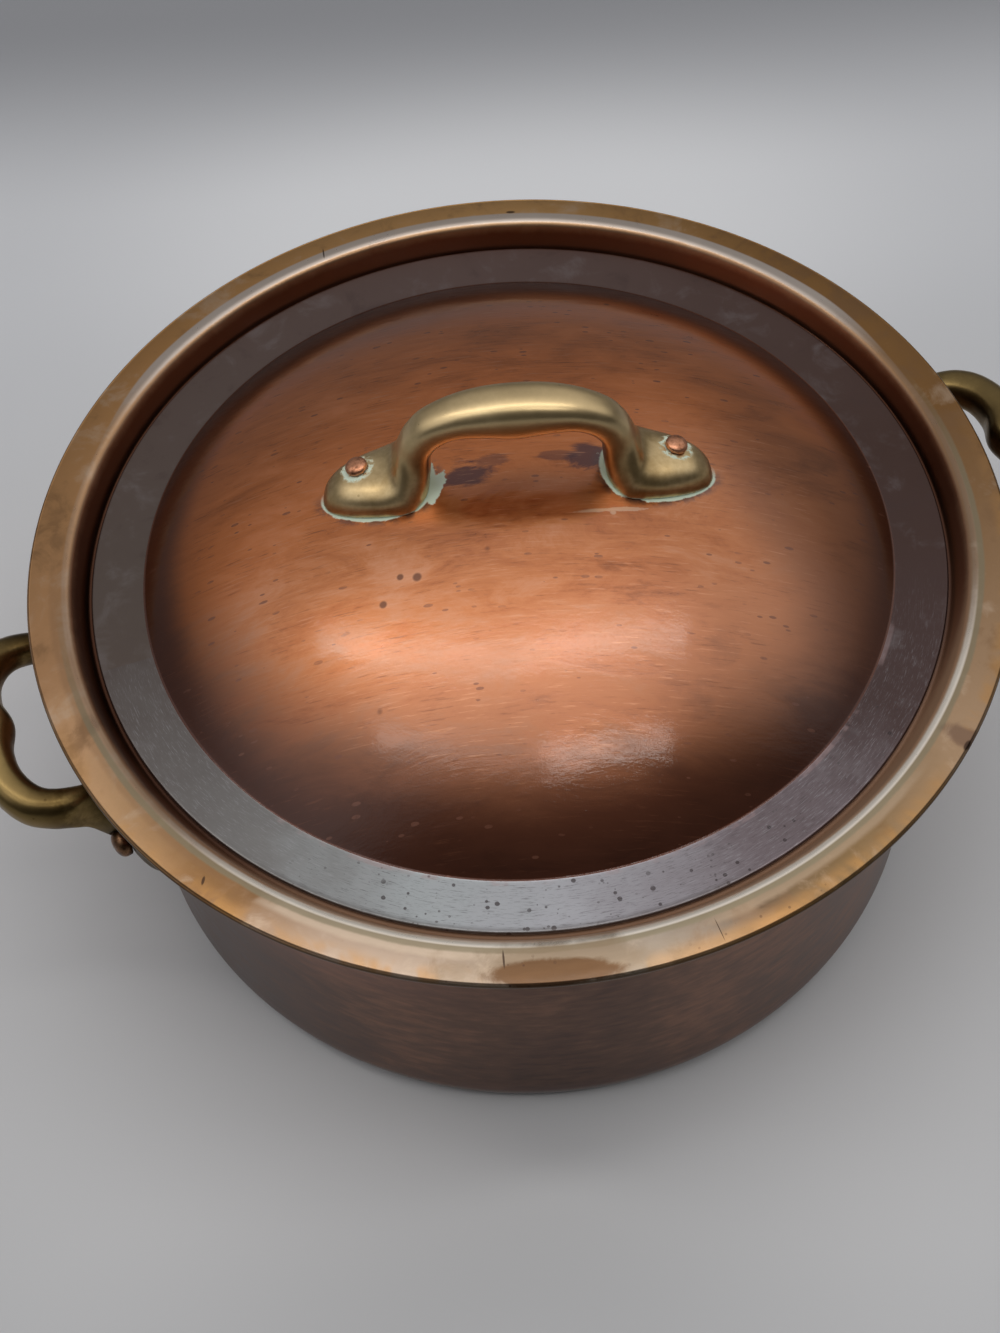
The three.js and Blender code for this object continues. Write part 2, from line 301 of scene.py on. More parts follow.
def cut(piece: Piece, tools: Sequence[Piece]) -> None:
    """Cuts tools from a piece, keeps the result as its mesh, and marks the sharp edges.

    Args:
        piece: The piece that is cut.
        tools: Closed solids, which are removed afterwards.
    """
    for tool in tools:
        step = piece.modifiers.new("cut", "BOOLEAN")
        step.operation = "DIFFERENCE"
        step.solver = "EXACT"
        step.object = tool
    bpy.context.view_layer.update()
    result = piece.evaluated_get(bpy.context.evaluated_depsgraph_get())
    mesh = bpy.data.meshes.new_from_object(result)
    piece.modifiers.clear()
    piece.data = mesh
    mesh.name = piece.name
    mesh.set_sharp_from_angle(angle=SHARP_EDGE)
    for tool in tools:
        bpy.data.objects.remove(tool)


# ---------------------------------------------------------------- sizes


@dataclass(frozen=True)
class PotSizes:
    """The pot's shell, in mm."""

    inner_radius: float = 120.0
    wall: float = 2.0
    height: float = 120.7
    corner_radius: float = 12.0
    seat_depth: float = 8.2
    shoulder_radius: float = 2.5
    seat_width: float = 3.8
    seat_corner: float = 1.0
    crest_reach: float = 10.5
    crest_radius: float = 3.0
    rim_reach: float = 20.9
    flange_slope: float = math.radians(5)
    edge_slope: float = math.radians(13)
    steps: int = 360

    @property
    def seat_level(self) -> float:
        """Height of the lid's seat."""
        return self.height - self.seat_depth

    @property
    def outer_radius(self) -> float:
        """Outside of the wall."""
        return self.inner_radius + self.wall

    def path(self) -> SheetPath:
        """Returns the sheet's line: base, corner, wall, seat, flare and turned-out flange."""
        half = self.wall / 2
        corner = self.corner_radius - half
        shoulder = self.shoulder_radius - half
        hollow = self.seat_corner + half
        crest = self.crest_radius - half
        seat_radius = self.inner_radius + self.seat_width
        crest_at = np.array([self.inner_radius + self.crest_reach, self.height - self.crest_radius])
        apart = crest_at - np.array([seat_radius, self.seat_level - half + hollow])
        gap = float(np.hypot(*apart))
        flare = math.atan2(apart[1], apart[0]) + math.asin((hollow + crest) / gap)
        low, high = math.sin(self.flange_slope), math.sin(self.edge_slope)
        flange = (self.rim_reach - self.crest_reach - crest * low) / (high - low)
        path = SheetPath(0, half, self.wall).run(self.inner_radius + half - corner, 6)
        path.bend(math.pi / 2, corner, 6)
        path.run(self.seat_level - half - shoulder - self.corner_radius, 4)
        path.bend(-math.pi / 2, shoulder, 15).run(seat_radius - self.inner_radius - half - shoulder, 1)
        path.bend(flare, hollow, 15).run(math.sqrt(gap**2 - (hollow + crest) ** 2), 1)
        return path.bend(-flare - self.flange_slope, crest, 5).bend(self.flange_slope - self.edge_slope, flange, 0.5)


@dataclass(frozen=True)
class LidSizes:
    """The lid's sheet, in mm."""

    pot: PotSizes = PotSizes()
    sheet: float = 1.6
    edge_clearance: float = 0.4
    seat_clearance: float = CLEARANCE
    dome_height: float = 37.5
    ring_width: float = 14.8
    foot_bend: float = 2.4
    steps: int = 360

    @property
    def radius(self) -> float:
        """The lid's edge."""
        return self.pot.inner_radius + self.pot.seat_width - self.edge_clearance

    @property
    def foot(self) -> float:
        """Radius of the dome's foot."""
        return self.radius - self.ring_width

    @property
    def top(self) -> float:
        """Height of the dome's top."""
        return self.pot.seat_level + self.seat_clearance + self.sheet + self.dome_height

    @property
    def bend(self) -> float:
        """Radius of the dome's middle line."""
        return (self.foot**2 + self.dome_height**2) / (2 * self.dome_height) - self.foot_bend

    @property
    def face(self) -> float:
        """Radius of the dome's upper face."""
        return self.bend + self.sheet / 2

    def path(self) -> SheetPath:
        """Returns the sheet's line: dome, foot bend and flat ring."""
        angle = math.asin(self.foot / (self.bend + self.foot_bend))
        path = SheetPath(0, self.top - self.sheet / 2, self.sheet).bend(-angle, self.bend, 0.6)
        return path.bend(angle, self.foot_bend, 6).run(self.radius - self.foot, 1)


@dataclass(frozen=True)
class RivetSizes:
    """A rivet with a domed head and a flat tail, in mm."""

    shank: float
    head: float
    dome: float
    tail: float
    tail_height: float
    clearance: float = CLEARANCE
    steps: int = 56

    def skin(self, stack: float) -> Skin:
        """Returns the rivet on its own Z axis. The head's flank is straight and then an ellipse.

        Args:
            stack: Thickness that the rivet holds, below level 0.

        Returns:
            The turned skin, with its head above level 0.
        """
        back = -stack - self.clearance
        seat = self.clearance
        flank = 0.38 * self.dome
        arc = np.radians(np.linspace(0, 88, 16))
        crown = np.column_stack([self.head * np.cos(arc) ** 0.8, seat + flank + (self.dome - flank) * np.sin(arc)])
        swell = np.radians(np.linspace(0, 80, 6))
        tail = np.column_stack([self.tail * (0.8 + 0.2 * np.sin(swell)), back - self.tail_height * np.cos(swell)])
        edge = 0.12 * self.head
        under = [[self.tail, back], [self.shank, back], [self.shank, seat], [self.head - edge, seat]]
        rows = [[[0, back - self.tail_height]], tail, under, [[self.head, seat + 0.8 * edge]], crown]
        return turned(np.concatenate([*rows, [[0, seat + self.dome]]]), self.steps)


@dataclass(frozen=True)
class Casting:
    """A cast handle in its own frame: u along the bow, v across it, w away from the face it sits on.

    Each section is a rounded box between a point of the outer and a point of the inner outline:
    point = middle + half depth * s(sin a), v = rise + half width * s(cos a), s(x) = sign(x) |x|^fullness.

    Attributes:
        outer: Outer side outline from the tip of a pad to the middle of the bow, as u and w.
        inner: Inner side outline, the same number of points.
        half_widths: Half width at each point.
        rises: Sideways place of each section.
        fullness: 1 is an ellipse, and less is squarer.
    """

    outer: Points
    inner: Points
    half_widths: Points
    rises: Points
    fullness: float
    spans: int = 9
    sides: int = 72

    def skin(self) -> Skin:
        """Returns the whole casting, mirrored in u, before its foot is cut."""
        rows = np.column_stack([self.outer, self.inner, self.half_widths, self.rises])
        other = rows[-2::-1].copy()
        rows[:, [0, 2]] *= -1
        line = spline(np.concatenate([rows, other]), self.spans)[:, None]
        angle = np.linspace(0, 2 * np.pi, self.sides, endpoint=False)
        sine, cosine = (np.sign(x) * np.abs(x) ** self.fullness for x in (np.sin(angle), np.cos(angle)))
        share = (1 + sine) / 2
        along = line[..., 2] + (line[..., 0] - line[..., 2]) * share
        away = line[..., 3] + (line[..., 1] - line[..., 3]) * share
        aside = line[..., 5] + line[..., 4] * cosine
        rings = np.stack([along, aside, away], axis=-1)
        return Skin(rings, rings[0].mean(0), rings[-1].mean(0))


def on_face(radius: float, u: float, height: float) -> tuple[float, float]:
    """Returns a side outline's point at u and a height above a round face: w = h - R + sqrt(R^2 - u^2)."""
    return u, height - radius + math.sqrt(radius**2 - u**2)


# ---------------------------------------------------------------- finishes


class Bench:
    """A workbench for one node tree: it lays nodes and joins them."""

    def __init__(self, tree: bpy.types.NodeTree) -> None:
        """Clears the tree."""
        self.tree = tree
        tree.nodes.clear()

    def node(self, kind: str, *fed: object, **named: object) -> bpy.types.Node:
        """Adds a node, feeds its sockets and sets its attributes.

        Args:
            kind: The node's type, without the word ShaderNode.
            fed: Links or values of its first sockets, in order.
            named: Its attributes by name, and its sockets by name with a capital letter.

        Returns:
            The new node.
        """
        made = self.tree.nodes.new("ShaderNode" + kind)
        sockets = list(zip(made.inputs, fed))
        for key, value in named.items():
            if key[0].isupper():
                sockets.append((made.inputs[key.replace("_", " ")], value))
            else:
                setattr(made, key, value)
        for socket, value in sockets:
            self.feed(socket, value)
        return made

    def feed(self, socket: Socket, value: object) -> None:
        """Links a socket, or sets its value.

        Args:
            socket: The input.
            value: A link, or a number, a vector or a colour.
        """
        if isinstance(value, bpy.types.NodeSocket):
            self.tree.links.new(value, socket)
        elif socket.type == "RGBA":
            socket.default_value = (*value, 1.0)
        else:
            socket.default_value = value

    def calc(self, operation: str, a: Value, b: Value = 0.0, c: Value = 0.0) -> Socket:
        """Adds a Math node."""
        return self.node("Math", a, b, c, operation=operation).outputs[0]

    def times(self, *values: Value) -> Value:
        """Multiplies values.

        Args:
            values: One or more factors.

        Returns:
            Their product, or the value itself when there is one.
        """
        result = values[0]
        for value in values[1:]:
            result = self.calc("MULTIPLY", result, value)
        return result

    def total(self, *terms: Socket | tuple[Value, float], start: float = 0.0) -> Socket:
        """Adds up start and each value * weight.

        Args:
            terms: Pairs of value and weight. A value on its own has the weight 1.
            start: The first number.

        Returns:
            The sum.
        """
        result: Value = start
        for term in terms:
            value, weight = term if isinstance(term, tuple) else (term, 1.0)
            result = self.calc("MULTIPLY_ADD", value, weight, result)
        return result

    def split(self, vector: Socket) -> tuple[Socket, Socket, Socket]:
        """Returns the three parts of a vector."""
        return tuple(self.node("SeparateXYZ", vector).outputs)

    def vector(self, x: Value, y: Value, z: Value) -> Socket:
        """Joins three numbers into a vector."""
        return self.node("CombineXYZ", x, y, z).outputs[0]

    def scaled(self, vector: Socket, factors: Colour) -> Socket:
        """Multiplies a vector by three factors."""
        return self.node("VectorMath", vector, factors, operation="MULTIPLY").outputs[0]

    def length(self, vector: Socket) -> Socket:
        """Returns a vector's length."""
        return self.node("VectorMath", vector, operation="LENGTH").outputs["Value"]

    def away(self, at: Socket, centre: tuple[float, float]) -> Socket:
        """Returns the distance from a centre that is given in mm."""
        place = (centre[0] * MM, centre[1] * MM, 0.0)
        return self.node("VectorMath", at, place, operation="DISTANCE").outputs["Value"]

    def ease(self, value: Value, low: float, high: float) -> Socket:
        """Returns a smooth step from 0 to 1 as the value goes from low to high, in either direction."""
        ends = (low, high, 0.0, 1.0) if low < high else (high, low, 1.0, 0.0)
        return self.node("MapRange", value, *ends, interpolation_type="SMOOTHSTEP").outputs[0]

    def band(self, value: Value, low: float, high: float, soft: float) -> Socket:
        """Returns 1 between low and high, with soft edges outside them."""
        return self.times(self.ease(value, low - soft, low), self.ease(value, high + soft, high))

    def shades(self, value: Value, *stops: tuple[float, Colour]) -> Socket:
        """Adds a colour ramp.

        Args:
            value: Where on the ramp, from 0 to 1.
            stops: Places on the ramp and their colours, in order.

        Returns:
            The colour there.
        """
        made = self.node("ValToRGB", value)
        elements = made.color_ramp.elements
        for index, (at, colour) in enumerate(stops):
            stop = elements[index] if index < 2 else elements.new(at)
            stop.position = at
            stop.color = (*colour, 1.0)
        return made.outputs[0]

    def coats(self, colour: Colour | Socket, *layers: tuple) -> Socket:
        """Mixes shades into a colour, one after another.

        Args:
            colour: The colour underneath.
            layers: Each coat's shade and then its shares, whose product it is mixed in by.

        Returns:
            The colour with every coat.
        """
        for shade, *shares in layers:
            made = self.node("Mix", self.times(*shares), data_type="RGBA")
            self.feed(made.inputs[6], colour)
            self.feed(made.inputs[7], shade)
            colour = made.outputs[2]
        return colour


class Surface(Bench):
    """The bench of one material, which reads places on the part in metres."""

    def __init__(self, name: str) -> None:
        """Starts an empty material.

        Args:
            name: The material's name.
        """
        self.material = bpy.data.materials.new(name)
        self.material.use_nodes = True
        super().__init__(self.material.node_tree)
        self.place: Socket = self.node("TexCoord").outputs["Object"]
        self.x, self.y, self.z = self.split(self.place)
        self.flat = self.vector(self.x, self.y, 0.0)
        self.radius = self.length(self.flat)

    def spun(self, degrees: float, shift: float) -> tuple[Socket, Socket, Socket]:
        """Gives the places on a casting's own axes: turned back round the Z axis, then slid back along u.

        Args:
            degrees: Turn of the casting.
            shift: Its slide along u, in mm.

        Returns:
            u, v and the vector (u, v, 0), in metres.
        """
        made = self.node("VectorRotate", self.flat, Angle=math.radians(-degrees), rotation_type="Z_AXIS")
        u, v, _ = self.split(made.outputs[0])
        u = self.calc("SUBTRACT", u, shift * MM)
        return u, v, self.vector(u, v, 0.0)

    def around(self) -> Socket:
        """Returns the turn about the Z axis: 0 and 1 at -X, 0.25 at -Y, 0.5 at +X."""
        return self.calc("MULTIPLY_ADD", self.calc("ARCTAN2", self.y, self.x), 0.5 / math.pi, 0.5)

    def hoop(self, round_scale: float, radial: float, upright: float) -> Socket:
        """Returns a place for marks that run round the axis: (x / r, y / r) * k and r * p + z * q."""
        part = [self.calc("DIVIDE", self.calc("MULTIPLY", v, round_scale), self.radius) for v in (self.x, self.y)]
        return self.vector(*part, self.total((self.radius, radial), (self.z, upright)))

    def noise(self, at: Socket, scale: float, detail: float, rough: float = 0.55, warp: float = 0.0) -> Socket:
        """Returns a Noise Texture's factor."""
        return self.node("TexNoise", at, Scale=scale, Detail=detail, Roughness=rough, Distortion=warp).outputs[0]

    def spots(self, at: Socket, scale: float, size: float, kept: float) -> Socket:
        """Returns 1 on scattered round spots.

        Args:
            at: Place of the pattern.
            scale: Cells for each metre.
            size: Largest spot radius, as a share of a cell.
            kept: Share of the cells that have a spot.

        Returns:
            A soft-edged mask.
        """
        made = self.node("TexVoronoi", at, Scale=scale)
        pick, grow, _ = self.split(made.outputs["Color"])
        edge = self.calc("MULTIPLY", grow, size)
        inside = self.ease(self.calc("SUBTRACT", edge, made.outputs["Distance"]), -0.02, 0.05)
        return self.calc("MULTIPLY", inside, self.calc("LESS_THAN", pick, kept))

    def blot(self, at: Pair, centre: Pair, size: Pair, degrees: float, ragged: Value = 0.0,
             soft: float = 0.55) -> Socket:
        """Returns 1 in the middle of an ellipse, and 0 outside it.

        Args:
            at: The two coordinates that it is drawn on, in metres.
            centre: Its middle, in mm.
            size: Its half length and half width, in mm.
            degrees: Direction of its length.
            ragged: Added to the distance, to break its edge.
            soft: Width of its edge, as a share of its size.

        Returns:
            A soft-edged mask.
        """
        cosine, sine = math.cos(math.radians(degrees)), math.sin(math.radians(degrees))
        over = [self.calc("SUBTRACT", v, c * MM) for v, c in zip(at, centre)]
        axes = [self.total((over[0], p), (over[1], q)) for p, q in ((cosine, sine), (-sine, cosine))]
        parts = [self.calc("POWER", self.calc("DIVIDE", v, s * MM), 2) for v, s in zip(axes, size)]
        apart = self.calc("ADD", self.calc("SQRT", self.calc("ADD", *parts)), ragged)
        return self.ease(apart, 1 + soft / 2, 1 - soft / 2)

    def dab(self, at: Socket, centre: Pair, size: float) -> Socket:
        """Returns 1 on a small round spot: a step on the distance from its middle. Its numbers are in mm."""
        return self.ease(self.away(at, centre), 1.3 * size * MM, 0.7 * size * MM)

    def finish(self, colour: Socket, metal: Value, rough: Value, height: Socket, depth: float,
               film: Pair = (0.0, 0.3), ripple: Socket | None = None) -> Material:
        """Adds the surface shader with a bump of the height, and returns the material.

        Args:
            colour: Base colour.
            metal: How metallic.
            rough: Roughness.
            height: Bump height from 0 to 1.
            depth: What a height of 1 stands for, in mm.
            film: Weight and roughness of the clear film on top.
            ripple: The film's own bump height, or None for a smooth film.

        Returns:
            The finished material.
        """
        bump = self.node("Bump", Strength=1.0, Distance=depth * MM, Height=height).outputs[0]
        skin = self.node("BsdfPrincipled", Base_Color=colour, Metallic=metal, Roughness=rough, Normal=bump,
                         Coat_Weight=film[0], Coat_Roughness=film[1])
        if ripple is not None:
            soft = self.node("Bump", Distance=1.2 * depth * MM, Height=ripple).outputs[0]
            self.feed(skin.inputs["Coat Normal"], soft)
        self.node("OutputMaterial", skin.outputs[0])
        return self.material


@dataclass(frozen=True)
class DomeCopper:
    """Burnished orange copper, brushed along the handle, with a dark brown foot and green round the pads.

    Painted light is part of its colour: shade on the front, over the front of the foot and on the far back, a
    redder back half, a shadow under the handle, and a pale pink tint where the lamps' highlights fall.

    Attributes:
        turn: Turn of the handle round the Z axis, in degrees.
        shift: Its slide along u, in mm.
        reach: Middle of the handle to each rivet, in mm.
    """

    turn: float
    shift: float
    reach: float
    # the ramp's darkest copper, also laid on as painted shade on the front and as the painted shadow under the handle
    dark: Colour = (0.25, 0.076, 0.026)
    copper: Colour = (0.49, 0.16, 0.054)
    orange: Colour = (0.57, 0.205, 0.074)
    pale: Colour = (0.66, 0.31, 0.17)
    # dark of the dome's foot, laid round the foot, and also painted as shade over the front of the lower dome
    foot: Colour = (0.07, 0.02, 0.01)
    # radii of that painted shade on the front of the lower dome
    shade: Pair = (0.106, 0.138)
    hem: Pair = (0.0965, 0.1065)

    def material(self) -> Material:
        """Makes the dome's material."""
        b = Surface("dome_copper")
        u, v, own = b.spun(self.turn, self.shift)
        streak = b.noise(b.scaled(own, (32, 760, 0)), 1, 4, 0.66)
        mottle = b.noise(b.scaled(own, (34, 92, 0)), 1, 7, 0.72, 0.6)
        dent = b.noise(b.scaled(own, (150, 260, 0)), 1, 4, 0.6)
        cloud = b.noise(b.place, 13, 2, 0.5)
        tone = b.total((mottle, 0.78), (streak, 0.15), (cloud, 0.45), start=-0.035)
        # painted highlight: a pale pink tint over the front, where the lamps' highlights fall
        painted_highlight = b.total((mottle, 0.03), (b.y, -1), start=-0.015)
        # painted shade: darker over the front of the dome's lower part, for the dark room that it reflects
        low = b.ease(b.total(b.radius, (cloud, 0.03), (mottle, 0.02), (b.y, -0.12), (b.x, -0.03)), *self.shade)
        colour = b.coats(
            b.shades(tone, (0.5, self.dark), (0.6, self.copper), (0.69, self.orange), (0.86, self.pale)),
            (self.pale, b.ease(streak, 0.6, 0.76), 0.3),
            # painted shade: the front of the dome darker, for the dark room that it reflects
            (self.dark, b.ease(b.y, -0.02, -0.085), 0.6),
            ((0.66, 0.235, 0.075), b.ease(b.total(b.x, (b.y, -0.4)), 0.045, 0.085), 0.4),
            # painted: a deeper red over the back half, for the light that the back reflects
            ((0.78, 0.225, 0.045), b.band(b.y, 0.015, 0.12, 0.03), 0.55),
            # painted shade: the far back darker, for the dark that it reflects
            ((0.2, 0.066, 0.02), b.ease(b.total(b.y, (mottle, 0.02)), 0.074, 0.106), 0.85),
            # painted highlight under the lamps' bands
            ((0.58, 0.32, 0.22), b.ease(painted_highlight, 0.03, 0.058), 0.2),
            # painted shadow under the handle's bow
            (self.dark, b.blot((u, v), (3, -9), (26, 8), 0, 0, 1.2), 0.45),
            # painted shade on the front of the lower dome
            (self.foot, low, 0.94),
            (self.foot, b.ease(b.total(b.radius, (mottle, 0.004), (b.y, 0.06)), *self.hem), 0.75),
            *self.marks(b, (u, v), own, mottle, cloud),
        )
        stain, growth = self.growth(b, (u, v), own)
        colour = b.coats(colour, ((0.11, 0.07, 0.07), stain, 0.7), (VERDIGRIS, growth))
        rough = b.total((mottle, 0.44), (streak, 0.1), (low, 0.08), (growth, 0.3), start=0.08)
        height = b.total((streak, 0.25), mottle, (growth, 0.6))
        ripple = b.total((mottle, 2.6), (dent, 1.3))
        return b.finish(colour, b.calc("SUBTRACT", 1, growth), rough, height, 0.035, film=(0.8, 0.075), ripple=ripple)

    def marks(self, b: Surface, at: Pair, own: Socket, mottle: Socket, cloud: Socket) -> list[tuple]:
        """Lists the coats of the stains by the handle, the dark patch, the dashes, the spots and the scratch.

        Args:
            b: The bench.
            at: u and v on the handle's axes.
            own: The same place as a vector.
            mottle: The brushed pattern.
            cloud: The wide pattern.

        Returns:
            Shades and shares, for coats.
        """
        loose = b.total((mottle, 4), start=-2)
        stains = (
            ((-14.5, -0.5), (6.5, 4.5), 0, 0.85), ((-8, 3.5), (5, 2), 10, 0.5),
            ((20.5, 4), (5, 4), 0, 0.85), ((12, 4.5), (5, 1.5), 0, 0.5),
        )
        patch = b.blot(at, (79, -8), (16, 34), 22, b.total((cloud, 1.4), start=-0.7), 1.3)
        dash = b.noise(b.scaled(own, (95, 1500, 0)), 1, 3, 0.65)
        grit = b.spots(b.scaled(own, (260, 680, 0)), 1, 0.36, 0.26)
        brown = (((-29.2, -31), 1.2), ((-33.8, -30.1), 0.9), ((-38.8, -37.1), 1))
        line = b.blot(at, (26.5, -14.6), (8, 0.5), 4, b.total((mottle, 8), start=-3.8), 0.6)
        return [
            *(((0.075, 0.034, 0.042), b.blot(at, *place, loose), weight) for *place, weight in stains),
            ((0.19, 0.075, 0.04), patch, 0.5),
            ((0.17, 0.06, 0.03), b.ease(dash, 0.57, 0.7), b.ease(mottle, 0.6, 0.44), 0.55),
            (self.pale, b.ease(dash, 0.42, 0.32), b.ease(b.radius, 0.095, 0.075), 0.45),
            ((0.16, 0.055, 0.025), b.spots(own, 95, 0.13, 0.3), b.ease(cloud, 0.44, 0.6), 0.8),
            ((0.2, 0.08, 0.05), grit, b.ease(mottle, 0.42, 0.58), 0.75),
            *(((0.14, 0.05, 0.025), b.dab(own, *spot), 0.85) for spot in brown),
            ((0.75, 0.6, 0.46), b.calc("MAXIMUM", line, b.dab(own, (25, -15.6), 0.8)), 0.45),
        ]

    def growth(self, b: Surface, at: Pair, own: Socket) -> tuple[Socket, Socket]:
        """Draws the growth round the pads, on the distance from a bent ellipse.

        Args:
            b: The bench.
            at: u and v on the handle's axes.
            own: The same place as a vector.

        Returns:
            The masks of the dark stain and of the green line.
        """
        u, v = at
        along = b.calc("DIVIDE", b.calc("SUBTRACT", b.calc("ABSOLUTE", u), (self.reach - 2.5) * MM), 14.9 * MM)
        across = b.calc("DIVIDE", v, b.total((along, -0.0022), start=0.0109))
        apart = b.calc("SQRT", b.calc("ADD", b.calc("POWER", along, 2), b.calc("POWER", across, 2)))
        fleck = b.noise(own, 240, 4, 0.65)
        apart = b.total(apart, (fleck, 0.3), start=-0.14)
        inner = b.ease(along, -0.5, -0.85)
        reach = b.total((inner, 0.09), (b.ease(fleck, 0.45, 0.6), 0.03), start=1.045)
        near = b.calc("MAXIMUM", b.ease(v, 0.004, -0.003), b.times(inner, b.ease(v, 0.0075, 0.005)))
        inside = b.calc("SUBTRACT", reach, apart)
        line = b.times(b.ease(inside, -0.02, 0.02), near)
        torn = b.total((fleck, 2.4), start=-1.2)
        for ellipse in (((-22.4, -3.4), (6, 1.7), 66), ((24.6, -2), (6.2, 1.1), -74)):
            line = b.calc("MAXIMUM", line, b.blot(at, *ellipse, torn, 0.3))
        return b.times(b.ease(inside, -0.22, -0.02), near, b.ease(fleck, 0.4, 0.6)), line


@dataclass(frozen=True)
class RingCopper:
    """The lid's flat ring: grey and mauve tarnish with painted light, changing round the axis, rubbed and pitted in
    front.

    The foot is the radius of the dome's foot, in mm, and the stops go round from -X. The stops are pale at the front
    left and dark at the right and the back, as painted light and shade as well as tarnish. Painted too: the rim's
    shadow on the outer part in front, shade at the outer edge by the gap, and a pink highlight on the foot's bend.
    """

    foot: float
    # radii where the ring's outer part is painted darker in front, as the rim's shadow
    rim_shade: Pair = (0.1212, 0.123)
    # radii where the ring's outer edge is painted darker, as the shade of the gap by the rim
    edge: Pair = (0.1228, 0.1233)
    # tarnish round the axis with painted light and shade in it: pale at the front left, dark at the right and back
    stops: Stops = (
        (0, (0.13, 0.105, 0.095)), (0.11, (0.25, 0.24, 0.23)), (0.17, (0.46, 0.485, 0.49)),
        (0.22, (0.47, 0.465, 0.49)), (0.25, (0.34, 0.315, 0.335)), (0.3, (0.21, 0.17, 0.18)),
        (0.37, (0.094, 0.06, 0.056)), (0.5, (0.085, 0.05, 0.041)), (0.72, (0.15, 0.1, 0.088)),
        (0.96, (0.13, 0.1, 0.085)),
    )

    def material(self) -> Material:
        """Makes the ring's material."""
        b = Surface("ring_copper")
        wander = b.noise(b.place, 30, 4, 0.6)
        bloom = b.noise(b.place, 85, 4, 0.62, 0.4)
        scratch = b.noise(b.hoop(34, 3900, 0), 1, 4, 0.72)
        around = b.total(b.around(), (wander, 0.1), start=-0.05)
        front = b.band(around, 0.15, 0.36, 0.04)
        pits = b.times(b.spots(b.place, 430, 0.34, 0.44), b.ease(wander, 0.4, 0.54), front)
        grit = b.times(b.spots(b.hoop(90, 900, 0), 1, 0.36, 0.3), b.ease(bloom, 0.42, 0.56), front)
        near = b.times(b.ease(around, 0.46, 0.32), b.ease(b.y, 0.03, -0.04))
        start = self.foot * MM
        # the foot's bend, where a pink line is painted in front as its highlight
        edge = b.band(b.radius, start - 0.0004, start + 0.0007, 0.0006)
        colour = b.coats(
            b.shades(around, *self.stops),
            ((0.34, 0.32, 0.33), b.ease(bloom, 0.52, 0.8), 0.22),
            ((0.085, 0.055, 0.05), b.ease(bloom, 0.44, 0.28), b.ease(around, 0.28, 0.36), 0.35),
            ((0.06, 0.045, 0.045), pits, 0.8),
            ((0.12, 0.105, 0.105), grit, 0.7),
            # painted shadow of the rim on the ring's outer part in front
            ((0.1, 0.085, 0.078), b.ease(b.radius, *self.rim_shade), b.band(around, 0.13, 0.27, 0.04), 0.6),
            ((0.5, 0.4, 0.22), b.spots(b.place, 150, 0.16, 0.16), b.ease(b.x, 0.02, -0.05), 0.75),
            ((0.46, 0.45, 0.47), b.ease(scratch, 0.53, 0.68), near, 0.38),
            ((0.1, 0.085, 0.085), b.ease(scratch, 0.47, 0.34), front, 0.55),
            # painted shade at the ring's outer edge, by the gap
            ((0.045, 0.024, 0.018), b.ease(b.radius, *self.edge), 0.4),
            # painted highlight: the pink line on the foot's bend in front
            ((0.46, 0.32, 0.31), edge, b.ease(bloom, 0.46, 0.62), b.ease(b.y, -0.04, -0.08), 0.4),
        )
        rough = b.total((bloom, 0.16), (scratch, 0.12), start=0.27)
        return b.finish(colour, 1, rough, b.total((scratch, 0.3), (bloom, 0.6)), 0.03, film=(0.15, 0.25))


@dataclass(frozen=True)
class TinLining:
    """Old tin: grey, wiped in rings, warmer where food has dulled it."""

    dull: Colour = (0.27, 0.24, 0.2)
    tin: Colour = (0.52, 0.51, 0.48)
    wiped: Colour = (0.64, 0.63, 0.6)

    def material(self) -> Material:
        """Makes the lining's material."""
        b = Surface("tin_lining")
        rings = b.noise(b.hoop(26, 760, 760), 1, 4, 0.6)
        cloud = b.noise(b.place, 26, 4, 0.6, 0.5)
        height = b.total((rings, 0.4), (cloud, 0.6))
        colour = b.coats(
            b.shades(height, (0.36, self.dull), (0.5, self.tin), (0.66, self.wiped)),
            ((0.16, 0.13, 0.1), b.spots(b.place, 210, 0.18, 0.2), 0.5),
        )
        return b.finish(colour, 1, b.total((rings, 0.22), (cloud, 0.2), start=0.22), height, 0.05)


@dataclass(frozen=True)
class BodyCopper:
    """The outside of the pot: even brown copper with faint turning marks, and a dark underside.

    Its upper left side is painted paler, as the light that this side reflects.
    """

    dark: Colour = (0.08, 0.035, 0.022)
    brown: Colour = (0.142, 0.069, 0.042)
    pale: Colour = (0.27, 0.132, 0.08)

    def material(self) -> Material:
        """Makes the outside's material."""
        b = Surface("body_copper")
        cloud = b.noise(b.place, 11, 4, 0.6, 0.4)
        hoops = b.noise(b.hoop(14, 240, 420), 1, 4, 0.6)
        tone = b.total((cloud, 0.6), (hoops, 0.4))
        colour = b.coats(
            b.shades(tone, (0.37, self.dark), (0.5, self.brown), (0.64, self.pale)),
            ((0.07, 0.038, 0.03), b.ease(b.z, 0.01, 0.001), 0.6),
            # painted light: the upper left of the body paler, where it reflects the bright side of the room
            ((0.62, 0.29, 0.21), b.ease(b.x, -0.03, -0.11), b.ease(b.z, 0.05, 0.11), 0.75),
            ((0.08, 0.045, 0.035), b.spots(b.place, 120, 0.1, 0.18), 0.6),
        )
        rough = b.total((cloud, 0.2), (hoops, 0.16), start=0.18)
        return b.finish(colour, 1, rough, b.total((hoops, 0.35), (cloud, 0.9)), 0.05, film=(0.12, 0.24))


